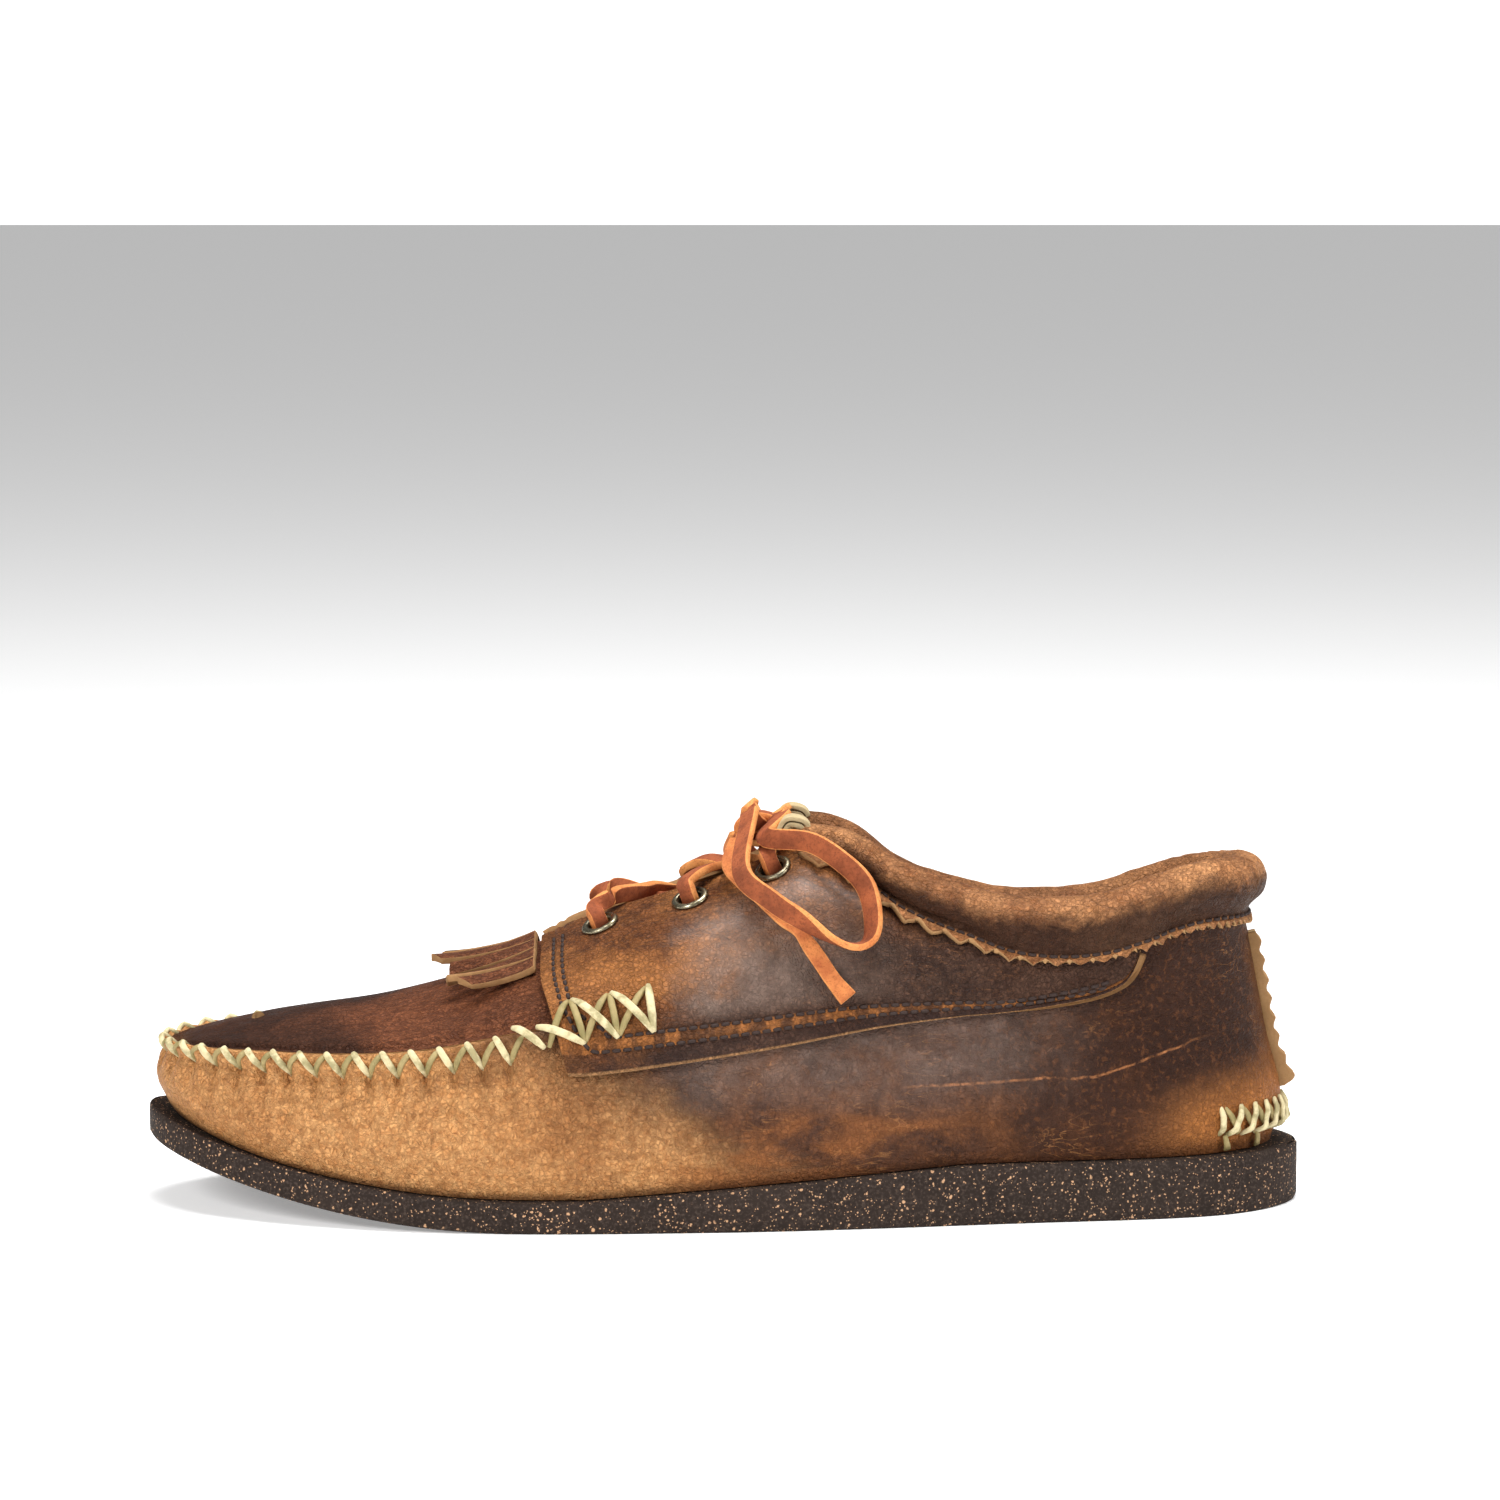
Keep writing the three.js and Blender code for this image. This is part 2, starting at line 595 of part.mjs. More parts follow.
// ---------------------------------------------------------------- back seam strip
// Two raw edges of leather stand up back to back down the middle of the heel, cut in scallops.
function backSeam() {
  const scallops = 8;
  const low = 17;
  const high = rimRise(0) - collarSkirt - 3.2;
  const rows = patch(scallops * 4, 1, (u, v) => {
    const t = tAtRise(0, mix(low, high, u));
    const flare = 1.4 * (1 - ease(u, 0, 0.25));
    const proud = seamStripProud + flare - 0.9 * Math.abs(Math.cos(scallops * Math.PI * u));
    const point = layer(0, t, mix(gap, proud, v));
    point.y = form(0, t).y - seamStrip / 2;
    return point;
  });
  add('back_seam_strip', thicken(gridTriangles(rows), seamStrip), 'tan');
}

// ---------------------------------------------------------------- hand-sewn cord
// Waxed cord run zigzag between an upper and a lower row of holes, on top of the leather.
function zigzag(count, place, passes) {
  const route = [];
  const overStroke = [0, 0.25, 0.5, 0.75];
  for (let pass = 0; pass < passes; pass += 1) {
    for (let i = 0; i < count; i += 1) {
      for (const f of overStroke) {
        const along = pass ? count - i - f : i + f;
        const up = (i + pass) % 2 ? f : 1 - f;
        route.push(place(along / count, up, pass));
      }
    }
  }
  return route;
}

function cordNode(name, route, sides) {
  const curve = curveOf(route);
  const steps = Math.round(curve.getLength() / (2.1 * sewingCord));
  add(name, bar(curve, sewingCord, steps, sides), 'cord');
}

const cordLift = gap + sewingCord / 2 + 0.35;

// The angle at a share of the way along the seam line, from one angle to another.
function alongSeam(from, to) {
  const samples = 360;
  const angles = Array.from({ length: samples + 1 }, (_, i) => mix(from, to, i / samples));
  const run = [0];
  for (let i = 1; i <= samples; i += 1) {
    run.push(run[i - 1] + form(angles[i], seamT).distanceTo(form(angles[i - 1], seamT)));
  }
  const angleOf = (share) => {
    const i = Math.max(1, run.findIndex((r) => r >= share * run[samples]));
    return mix(angles[i - 1], angles[i], (share * run[samples] - run[i - 1]) / (run[i] - run[i - 1]));
  };
  return { angleOf, length: run[samples] };
}

function apronThread() {
  const end = angleAt(-0.335 * halfLength);
  const seam = alongSeam(end, 2 * Math.PI - end);
  const strokes = 2 * Math.round(seam.length / stitchPitch);
  const place = (u, up) => (
    layer(seam.angleOf(THREE.MathUtils.clamp(u, 0, 1)), seamT + mix(-0.066, 0.01, up), cordLift + 0.4));
  cordNode('apron_thread', zigzag(strokes, place, 1), 5);
}

function sideThread(side) {
  const place = (u, up, pass) => {
    const s = mix(-0.27, -0.12, u) - 0.012 * up;
    const angle = sideAngle(side, s);
    const rise = mix(mix(39.5, 41.5, u), mix(48.5, 51.5, u), up);
    return layer(angle, tAtRise(angle, rise), quarterOut + machineThread + cordLift + 1.15 * pass * sewingCord);
  };
  cordNode(side === OUTER ? 'side_thread_lateral' : 'side_thread_medial', zigzag(7, place, 2), 6);
}

function heelThread() {
  const reach = 0.5;
  const place = (u, up, pass) => {
    const angle = mix(-reach, reach, u);
    const rise = mix(4.5, 12.5, up);
    return layer(angle, tAtRise(angle, rise), cordLift + 1.15 * pass * sewingCord);
  };
  cordNode('heel_thread', zigzag(16, place, 2), 5);
}

// Machine thread: two rows down the front and along the lower edge of each quarter, joined by a
// turn at the back, and one row round the foot of the collar roll.
function quarterStitch(side) {
  const lift = quarterOut + gap + machineThread / 2;
  const row = (inset) => {
    const [du, dv] = [inset / 150, inset / 46];
    const down = [0.9, 0.72, 0.56].map((v) => [du, v]);
    const front = [[du, 0.4], [du * 1.1, 0.24], [du * 2.2, dv * 1.25]];
    const along = Array.from({ length: 17 }, (_, i) => [mix(0.09, 0.955, i / 16), dv * (1 + 0.9 * ease(i, 12, 16))]);
    return [...down, ...front, ...along].map(([u, v]) => quarterPoint(side, u, v, lift));
  };
  const curve = curveOf([...row(3.2), ...row(5.4).reverse()]);
  const name = side === OUTER ? 'quarter_stitch_lateral' : 'quarter_stitch_medial';
  add(name, bar(curve, machineThread, 72, 4), 'thread');
}

function collarStitch() {
  const route = Array.from({ length: 41 }, (_, i) => (
    skirtPoint(mix(-0.985 * collarReach, 0.985 * collarReach, i / 40), 2.8, 4 * gap)));
  add('collar_stitch', bar(curveOf(route), machineThread, 56, 4), 'thread');
}

// ---------------------------------------------------------------- lace
// One strip of rawhide: under the facings between the front eyelets, criss-cross over the tongue,
// each time under a facing and up through its eyelet, then a bow knot with two loops and two ends.
const underFacing = -laceThickness / 2 - 1.15;
const otherSide = (side) => -side;

// A point over the tongue: share 0 at the outer facing, 1 at the inner one.
function throatPoint(s, share, lift) {
  const angle = angleAt(s * halfLength);
  const [a, b] = [form(angle, 1), form(2 * Math.PI - angle, 1)];
  const arch = throatArch * a.distanceTo(b) * 4 * share * (1 - share);
  return a.lerp(b, share).add(new THREE.Vector3(0, 0, arch + lift));
}

// Up through eyelet number i: from under the facing, round and over the flange.
function upThrough(side, i) {
  const at = (toFacing, lift) => (
    layer(sideAngle(side, eyeletStations[i]), eyeletT + toFacing * eyeletDrop, lift));
  const top = quarterOut + laceThickness / 2;
  return [at(0.55, underFacing), at(0.28, underFacing + 0.25), at(0.04, underFacing + 1.5),
    at(0, 0.4), at(0, quarterOut + gap), at(0.04, top + 1.3), at(0.36, top + 2.8)];
}

// From the top of one eyelet over the throat and under the opposite facing at the next one.
function crossing(side, i, over) {
  const [s, next] = [eyeletStations[i], eyeletStations[i + 1]];
  const share = (q) => (side === OUTER ? q : 1 - q);
  const middle = over ? laceThickness + 0.4 : -0.5;
  return [
    layer(sideAngle(side, mix(s, next, 0.2)), 1, quarterOut + laceThickness + 1),
    throatPoint(mix(s, next, 0.38), share(0.24), mix(2 * laceThickness, middle, 0.5)),
    throatPoint(mix(s, next, 0.55), share(0.5), middle),
    throatPoint(mix(s, next, 0.75), share(0.8), over ? -0.9 : -1.6),
    layer(sideAngle(otherSide(side), mix(s, next, 0.92)), 0.99, underFacing - 0.1),
  ];
}

const knotStation = 0.07;
const knotSize = new THREE.Vector3(6.2, 5.4, 4.6);
const knotCentre = throatPoint(knotStation, 0.5, 7.2);
const fromKnot = (x, y, z) => knotCentre.clone()
  .addScaledVector(new THREE.Vector3(x, y, z), laceThickness / 3);

function laceRun() {
  const half = (side) => [
    ...upThrough(side, 0), ...crossing(side, 0, side === OUTER),
    ...upThrough(otherSide(side), 1), ...crossing(otherSide(side), 1, side !== OUTER),
    ...upThrough(side, 2), fromKnot(1.5, -6.6 * side, -2.2),
  ];
  const under = throatPoint(eyeletStations[0], 0.5, underFacing);
  const route = [...half(OUTER).reverse(), under, ...half(INNER)];
  add('lace_run', bar(curveOf(route), laceThickness, 110, 6), 'lace');
}

function laceKnot() {
  const knot = new THREE.SphereGeometry(1, 14, 8).scale(knotSize.x, knotSize.y, knotSize.z);
  add('lace_knot', knot.translate(knotCentre.x, knotCentre.y, knotCentre.z), 'lace');
}

// Free stretches, as [station, t, way out] on the form between their places at the knot. A loop
// lies outside the collar roll, an end lies on the quarter.
const laceCord = 1.4 * laceThickness;
const loopRoute = [[0.105, 0.97, 3.6], [0.148, 0.905, 3.2], [0.195, 0.865, 2.8], [0.229, 0.825, 2.2],
  [0.248, 0.755, 1.4], [0.245, 0.7, 0.6], [0.221, 0.668, 0.3], [0.179, 0.665, 1.3], [0.133, 0.69, 3.4],
  [0.091, 0.735, 3.7], [0.055, 0.83, 4.1]];
const endRoute = [[0.03, 0.95, 4], [0.045, 0.87, 2.5], [0.07, 0.79, 2.2], [0.1, 0.72, 2.1],
  [0.133, 0.67, 2.1], [0.158, 0.628, 2.1], [0.183, 0.588, 2.2], [0.208, 0.555, 2.4]];

function freeLace(side) {
  const word = side === OUTER ? 'lateral' : 'medial';
  const onForm = (base) => ([s, t, out]) => layer(sideAngle(side, s), t, base + out * laceThickness / 3);
  const overRoll = 1.5 * collarRadius - 2.8 + 0.7 * (quarterOut - 2.7) + 1.5 * (laceCord - 4.2);
  const onQuarter = quarterOut + gap + laceCord - 4.2;
  const loop = [fromKnot(5, -5 * side, 3.5), ...loopRoute.map(onForm(overRoll)), fromKnot(-3.5, -7.4 * side, 4.6)];
  const end = [fromKnot(-6.8, -6.4 * side, -2.8), ...endRoute.map(onForm(onQuarter))];
  add(`lace_loop_${word}`, bar(curveOf(loop), laceCord, 20, 10), 'lace');
  add(`lace_end_${word}`, bar(curveOf(end), laceCord, 10, 10), 'lace');
}

// ---------------------------------------------------------------- build
outsole();
moccasinBody();
footbed();
heelCounter();
quarterLining();
apron();
tongue();
kiltie();
for (const [side, word] of [[OUTER, 'lateral'], [INNER, 'medial']]) {
  add(`quarter_${word}`, quarter(side), 'pullUp');
  eyeletStations.forEach((s, i) => add(`eyelet_${word}_${i + 1}`, eyelet(side, s), 'brass'));
}
collarFoam();
collarCover();
backSeam();
apronThread();
sideThread(OUTER);
sideThread(INNER);
heelThread();
quarterStitch(OUTER);
quarterStitch(INNER);
collarStitch();
laceRun();
laceKnot();
freeLace(OUTER);
freeLace(INNER);

export default moccasin;
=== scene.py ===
import math
from functools import lru_cache

import bpy
import numpy as np
from mathutils import Matrix, Vector


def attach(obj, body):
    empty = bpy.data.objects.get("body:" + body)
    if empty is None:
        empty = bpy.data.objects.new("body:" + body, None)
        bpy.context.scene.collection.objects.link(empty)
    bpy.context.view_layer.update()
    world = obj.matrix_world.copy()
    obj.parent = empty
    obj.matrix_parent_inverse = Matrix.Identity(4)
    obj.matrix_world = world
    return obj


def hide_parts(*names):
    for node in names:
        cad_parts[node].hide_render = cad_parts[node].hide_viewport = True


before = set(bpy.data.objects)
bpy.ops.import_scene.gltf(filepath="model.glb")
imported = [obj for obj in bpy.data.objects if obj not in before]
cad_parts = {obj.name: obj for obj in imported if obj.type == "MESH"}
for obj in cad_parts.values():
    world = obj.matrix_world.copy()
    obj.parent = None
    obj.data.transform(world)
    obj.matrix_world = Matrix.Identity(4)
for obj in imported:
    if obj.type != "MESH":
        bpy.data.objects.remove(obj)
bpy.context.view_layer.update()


# ---------------------------------------------------------------- floor, light and camera
# A plain white table under broad soft lamps, with a long lens square to the outer side of the
# shoe and a little above it.
def lamp(name, place, aim, size, watts):
    data = bpy.data.lights.new(name, "AREA")
    data.shape, data.size, data.energy = "SQUARE", size, watts
    made = bpy.data.objects.new(name, data)
    made.location = place
    made.rotation_mode = "QUATERNION"
    made.rotation_quaternion = (Vector(aim) - Vector(place)).to_track_quat("-Z", "Y")
    bpy.context.scene.collection.objects.link(made)


lamp("overhead_lamp", (0.1, 0.1, 1.4), (0, 0, 0.05), 0.9, 26)
lamp("front_lamp", (-0.9, -1.2, 1.0), (0, 0, 0.05), 0.6, 21)
lamp("heel_lamp", (1.2, -0.7, 0.8), (0.05, 0, 0.05), 0.5, 11)

# The room is bright at the horizon, which keeps the table white, and dim above it.
world = bpy.data.worlds.new("white_room")
world.use_nodes = True
sky = world.node_tree.nodes["Background"]
sky.inputs["Color"].default_value = (1, 1, 1, 1)
where = world.node_tree.nodes.new("ShaderNodeTexCoord")
height = world.node_tree.nodes.new("ShaderNodeSeparateXYZ")
dim_above = world.node_tree.nodes.new("ShaderNodeMapRange")
dim_above.inputs["From Min"].default_value = 0.02
dim_above.inputs["From Max"].default_value = 0.08
dim_above.inputs["To Min"].default_value = 1.5
dim_above.inputs["To Max"].default_value = 0.2
world.node_tree.links.new(where.outputs["Generated"], height.inputs[0])
world.node_tree.links.new(height.outputs["Z"], dim_above.inputs["Value"])
world.node_tree.links.new(dim_above.outputs[0], sky.inputs["Strength"])
bpy.context.scene.world = world
bpy.context.scene.view_settings.view_transform = "Standard"

TABLE_HALF = 6.0
corners = [(x * TABLE_HALF, y * TABLE_HALF, 0) for x, y in ((-1, -1), (1, -1), (1, 1), (-1, 1))]
table_mesh = bpy.data.meshes.new("table")
table_mesh.from_pydata(corners, [], [(0, 1, 2, 3)])
table = bpy.data.objects.new("table", table_mesh)
bpy.context.scene.collection.objects.link(table)
paper = bpy.data.materials.new("white_paper")
paper.use_nodes = True
paper_shader = paper.node_tree.nodes["Principled BSDF"]
paper_shader.inputs["Base Color"].default_value = (0.86, 0.86, 0.86, 1)
paper_shader.inputs["Roughness"].default_value = 0.9
paper_shader.inputs["Emission Color"].default_value = (1, 1, 1, 1)
paper_shader.inputs["Emission Strength"].default_value = 0.3
table_mesh.materials.append(paper)

CAMERA_DISTANCE = 1.7
CAMERA_ELEVATION = math.radians(7)
FRAME_WIDTH = 0.389
camera_data = bpy.data.cameras.new("camera")
camera_data.sensor_width = 36
camera_data.lens = camera_data.sensor_width * CAMERA_DISTANCE / FRAME_WIDTH
camera = bpy.data.objects.new("camera", camera_data)
camera_aim = Vector((0.007, 0, 0.1176))
camera_back = Vector((0, -math.cos(CAMERA_ELEVATION), math.sin(CAMERA_ELEVATION)))
camera.location = camera_aim + CAMERA_DISTANCE * camera_back
camera.rotation_mode = "QUATERNION"
camera.rotation_quaternion = (-camera_back).to_track_quat("-Z", "Y")
bpy.context.scene.collection.objects.link(camera)
bpy.context.scene.camera = camera


# ---------------------------------------------------------------- outsole
# A slab of rubber mixed with cork crumbs, cut to the shape of the foot, thinner under the toes,
# turned up at the tip, its two edges left finely ribbed by the cutter.
MM = 0.001
HALF_LENGTH = 150.0
SOLE_WIDTH = 104.0
FORE_THICKNESS = 8.0
HEEL_THICKNESS = 15.2
TOE_SPRING = 17.0
SOLE_GIRTH = 820.0
PLAN_SHARES = [0.04, -0.5, -0.73, -0.96, -0.96, -0.54, 0.08, 0.65, 1, 0.76, 0.65, 0.56]


def hermite(a, b, slope_a, slope_b, u):
    u2, u3 = u * u, u * u * u
    return ((2 * u3 - 3 * u2 + 1) * a + (u3 - 2 * u2 + u) * slope_a
            + (3 * u2 - 2 * u3) * b + (u3 - u2) * slope_b)


def through(*pairs):
    """A smooth function through (station, value) pairs, level outside them."""
    def slope(i):
        a, b = pairs[max(i - 1, 0)], pairs[min(i + 1, len(pairs) - 1)]
        return (b[1] - a[1]) / (b[0] - a[0])

    def value(s):
        if s <= pairs[0][0]:
            return pairs[0][1]
        if s >= pairs[-1][0]:
            return pairs[-1][1]
        i = max(k for k, p in enumerate(pairs) if p[0] <= s)
        span = pairs[i + 1][0] - pairs[i][0]
        u = (s - pairs[i][0]) / span
        return hermite(pairs[i][1], pairs[i + 1][1], slope(i) * span, slope(i + 1) * span, u)
    return value


def mix(a, b, u):
    return a + (b - a) * u


def ease(x, low, high):
    u = min(1.0, max(0.0, (x - low) / (high - low)))
    return u * u * (3 - 2 * u)


def plan_share(angle):
    n = len(PLAN_SHARES)
    at = (angle / (2 * math.pi) * n) % n
    i = int(at)
    p, a, b, q = (PLAN_SHARES[(i + k) % n] for k in (-1, 0, 1, 2))
    return hermite(a, b, (b - p) / 2, (q - a) / 2, at - i)


plan_samples = [plan_share(math.radians(i / 2)) for i in range(720)]
plan_middle = (max(plan_samples) + min(plan_samples)) / 2
plan_reach = (max(plan_samples) - min(plan_samples)) / 2


def sole_edge(angle):
    across = (plan_share(angle) - plan_middle) / plan_reach
    return np.array([HALF_LENGTH * math.cos(angle), across * SOLE_WIDTH / 2])


def tread_height(x):
    start = -HALF_LENGTH / 3
    ahead = max(0.0, (start - x) / (start + HALF_LENGTH))
    return TOE_SPRING * ahead * ahead


def sole_top(x):
    start, end = -0.233 * HALF_LENGTH, 0.413 * HALF_LENGTH
    wedge = min(1.0, max(0.0, (x - start) / (end - start)))
    return tread_height(x) + mix(FORE_THICKNESS, HEEL_THICKNESS, wedge)


def add_piece(name, vertices, faces, body, smooth=True):
    """A mesh object in millimetres of the row's frame, riding on a body."""
    mesh = bpy.data.meshes.new(name)
    mesh.from_pydata([tuple(float(c) * MM for c in v) for v in vertices], [], [tuple(f) for f in faces])
    mesh.polygons.foreach_set("use_smooth", [smooth] * len(mesh.polygons))
    piece = bpy.data.objects.new(name, mesh)
    bpy.context.scene.collection.objects.link(piece)
    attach(piece, body)
    return piece


def colour(red, green, blue):
    """A colour from its 0-255 screen values, as the linear values a shader takes."""
    def linear(c):
        c /= 255
        return c / 12.92 if c <= 0.04045 else ((c + 0.055) / 1.055) ** 2.4
    return (linear(red), linear(green), linear(blue), 1.0)


class Value:
    """A shader value or colour; sums with it add Math nodes."""

    def __init__(self, finish, socket):
        self.finish, self.socket = finish, socket

    def _sum(self, operation, first, second=0.0):
        return self.finish.node("ShaderNodeMath", {"operation": operation}, {0: first, 1: second})

    def __add__(self, other):
        return self._sum("ADD", self, other)

    def __sub__(self, other):
        return self._sum("SUBTRACT", self, other)

    def __rsub__(self, other):
        return self._sum("SUBTRACT", other, self)

    def __mul__(self, other):
        return self._sum("MULTIPLY", self, other)

    def __abs__(self):
        return self._sum("ABSOLUTE", self)

    __radd__, __rmul__ = __add__, __mul__

    def step(self, low, high):
        """0 below low, 1 above high, smooth between; falling if low is over high."""
        rising = low < high
        return self.finish.node("ShaderNodeMapRange", {"interpolation_type": "SMOOTHSTEP"}, {
            "Value": self, "From Min": min(low, high), "From Max": max(low, high),
            "To Min": 0.0 if rising else 1.0, "To Max": 1.0 if rising else 0.0})

    def at_least(self, other):
        return self._sum("MAXIMUM", self, other)


class Finish:
    """One material: a Principled shader and the nodes that feed it."""

    def __init__(self, name, **constants):
        self.material = bpy.data.materials.new(name)
        self.material.use_nodes = True
        self.tree = self.material.node_tree
        self.shader = self.tree.nodes["Principled BSDF"]
        self.place = self.node("ShaderNodeTexCoord", {}, {}, "Object")
        parts = self.tree.nodes.new("ShaderNodeSeparateXYZ")
        self.tree.links.new(self.place.socket, parts.inputs[0])
        self.x, self.y, self.z = (Value(self, out) * 1000.0 for out in parts.outputs)
        self.feed(**constants)

    def node(self, kind, settings, sockets, output=0):
        made = self.tree.nodes.new(kind)
        for key, value in settings.items():
            setattr(made, key, value)
        for key, value in sockets.items():
            if isinstance(value, Value):
                self.tree.links.new(value.socket, made.inputs[key])
            else:
                made.inputs[key].default_value = value
        return Value(self, made.outputs[output])

    def feed(self, **sockets):
        """Sets shader sockets; base_color stands for Base Color."""
        for key, value in sockets.items():
            socket = self.shader.inputs[key.replace("_", " ").title().replace("Ior", "IOR")]
            if isinstance(value, Value):
                self.tree.links.new(value.socket, socket)
            else:
                socket.default_value = value

    def blend(self, share, first, second):
        made = self.tree.nodes.new("ShaderNodeMix")
        made.data_type = "RGBA"
        for index, value in ((0, share), (6, first), (7, second)):
            if isinstance(value, Value):
                self.tree.links.new(value.socket, made.inputs[index])
            else:
                made.inputs[index].default_value = value
        return Value(self, made.outputs[2])

    def stretched(self, x, y, z):
        """The place in the piece, stretched along each axis."""
        return self.node("ShaderNodeMapping", {}, {"Vector": self.place, "Scale": (x, y, z)})

    def noise(self, scale, detail=4.0, rough=0.55, place=None, twist=0.0):
        return self.node("ShaderNodeTexNoise", {}, {
            "Vector": place or self.place, "Scale": scale, "Detail": detail, "Roughness": rough,
            "Distortion": twist})

    def cells(self, scale, output="Distance", feature="F1", place=None):
        return self.node("ShaderNodeTexVoronoi", {"feature": feature}, {
            "Vector": place or self.place, "Scale": scale}, output)

    def lines(self, wide, thin, *noise, **place):
        """1 along the thin wandering lines where a noise passes its middle value, 0 elsewhere."""
        return abs(self.noise(*noise, **place) - 0.5).step(wide, thin)

    def bent(self, scale, reach):
        """The place in the piece, pushed about by a noise, so that cells get uneven outlines."""
        push = self.node("ShaderNodeTexNoise", {}, {"Vector": self.place, "Scale": scale}, 1)
        push = self.node("ShaderNodeVectorMath", {"operation": "SCALE"}, {0: push, "Scale": reach})
        return self.node("ShaderNodeVectorMath", {"operation": "ADD"}, {0: self.place, 1: push})

    def attribute(self, name):
        return self.node("ShaderNodeAttribute", {"attribute_name": name}, {}, "Fac")

    def bump(self, height, depth, strength=1.0):
        """Feeds Normal from a height of the given depth in millimetres."""
        self.feed(normal=self.node("ShaderNodeBump", {}, {
            "Height": height, "Distance": depth * MM, "Strength": strength}))


def wear(piece, *finishes):
    """Gives a piece its finishes, and keeps which of them each face has."""
    kinds = [face.material_index for face in piece.data.polygons]
    piece.data.materials.clear()
    for finish in finishes:
        piece.data.materials.append(finish.material)
    piece.data.polygons.foreach_set("material_index", kinds)


def cork_rubber():
    finish = Finish("cork_rubber", specular_ior_level=0.1)
    ragged = finish.bent(900.0, 0.0011)
    ground = finish.blend(finish.noise(60), colour(28, 22, 19), colour(54, 44, 39))
    ground = finish.blend(finish.noise(1300).step(0.45, 0.75) * 0.5, ground, colour(90, 76, 67))
    for scale, share, size in ((470.0, 0.72, 0.24), (800.0, 0.66, 0.27), (1400.0, 0.62, 0.3)):
        pick = finish.cells(scale, "Color", place=ragged)
        near = finish.cells(scale, place=ragged).step(size, size * 0.6)
        chosen = near * pick.step(share, share + 0.02)
        crumb = finish.blend(finish.noise(260, twist=1.0), colour(146, 104, 76), colour(228, 184, 142))
        ground = finish.blend(chosen, ground, crumb)
    finish.feed(base_color=ground, roughness=0.62 + 0.25 * finish.noise(700))
    ribs = finish.noise(520.0, place=finish.stretched(1, 1, 0.25))
    finish.bump(ribs + 0.5 * finish.noise(1900), 0.35, 0.7)
    return finish


CUT_ROUND = 0.7
RIB_PITCH = 2.1


def outsole():
    """Rings from the middle of the tread round the edge to the middle of the top."""
    columns = 720
    ring_steps = 14
    rings = []
    for c in range(columns):
        angle = 2 * math.pi * c / columns
        edge = sole_edge(angle)
        ahead, behind = sole_edge(angle + 0.01), sole_edge(angle - 0.01)
        out = np.array([behind[1] - ahead[1], ahead[0] - behind[0]])
        out /= -np.linalg.norm(out)
        if out @ edge < 0:
            out = -out
        low, high = tread_height(edge[0]), sole_top(edge[0])
        run = c / columns * SOLE_GIRTH / RIB_PITCH
        rib = 0.22 * abs(math.sin(math.pi * run))
        ring = []
        centre = np.array([edge[0] * 0.94, 0.0])
        for share in (0.0, 0.4, 0.75, 0.93):
            flat = mix(centre, edge, share)
            ring.append((flat[0], flat[1], tread_height(flat[0])))
        for k in range(ring_steps + 1):
            up = k / ring_steps
            round_low = max(0.0, 1 - up * (high - low) / CUT_ROUND)
            round_high = max(0.0, 1 - (1 - up) * (high - low) / CUT_ROUND)
            inset = CUT_ROUND * (1 - math.sqrt(max(0.0, 1 - max(round_low, round_high) ** 2)))
            ribbed = rib * (ease(up, 0.24, 0.1) if up < 0.5 else ease(up, 0.78, 0.9))
            wave = 0.12 * math.sin(run * 0.31) * math.sin(math.pi * up)
            place = edge - out * (inset + ribbed + wave)
            ring.append((place[0], place[1], mix(low, high, up)))
        for share in (0.93, 0.8, 0.4, 0.0):
            flat = mix(centre, edge, share)
            ring.append((flat[0], flat[1], sole_top(flat[0])))
        rings.append(ring)
    size = len(rings[0])
    vertices = [v for ring in rings for v in ring]
    faces = []
    for c in range(columns):
        n = (c + 1) % columns
        for r in range(size - 1):
            faces.append((c * size + r, c * size + r + 1, n * size + r + 1, n * size + r))
    return add_piece("outsole_slab", vertices, faces, "shoe")


sole = outsole()
wear(sole, cork_rubber())
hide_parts("outsole")


# ---------------------------------------------------------------- moccasin body
# One piece of oiled leather that lies under the foot and is drawn up all round it. Its edge is
# gathered into small puckers and pinched to the apron in a ridge round the toe.
INSTEP_SHIFT = through((-1, 0), (-0.4, 1.5), (0, 4), (0.3, 3), (0.7, 0))
MOUTH_HALF = through((-0.37, 0), (-0.3, 3.5), (-0.233, 6), (0, 9), (0.133, 11.5), (0.2, 15),
                     (0.3, 20), (0.45, 24.5), (0.55, 26), (0.7, 25.5), (0.85, 23), (1, 21.2))
INSETS = [
    through((-1, 5), (-0.8, 4), (0.7, 4), (1, 7)),
    through((-1, 2), (-0.5, 1.5), (0, 1.8), (0.5, 2.5), (1, 4.5)),
    through((-1, 6), (-0.8, 8), (-0.5, 9.5), (-0.333, 9), (0, 7), (0.3, 6), (0.7, 5.5), (1, 8.3)),
    through((-1, 17), (-0.8, 20), (-0.667, 24), (-0.5, 27), (-0.333, 26), (-0.233, 25), (0, 20),
            (0.133, 19), (0.2, 17), (0.3, 12.5), (0.45, 9), (0.7, 7.5), (0.85, 9), (1, 11.5)),
]
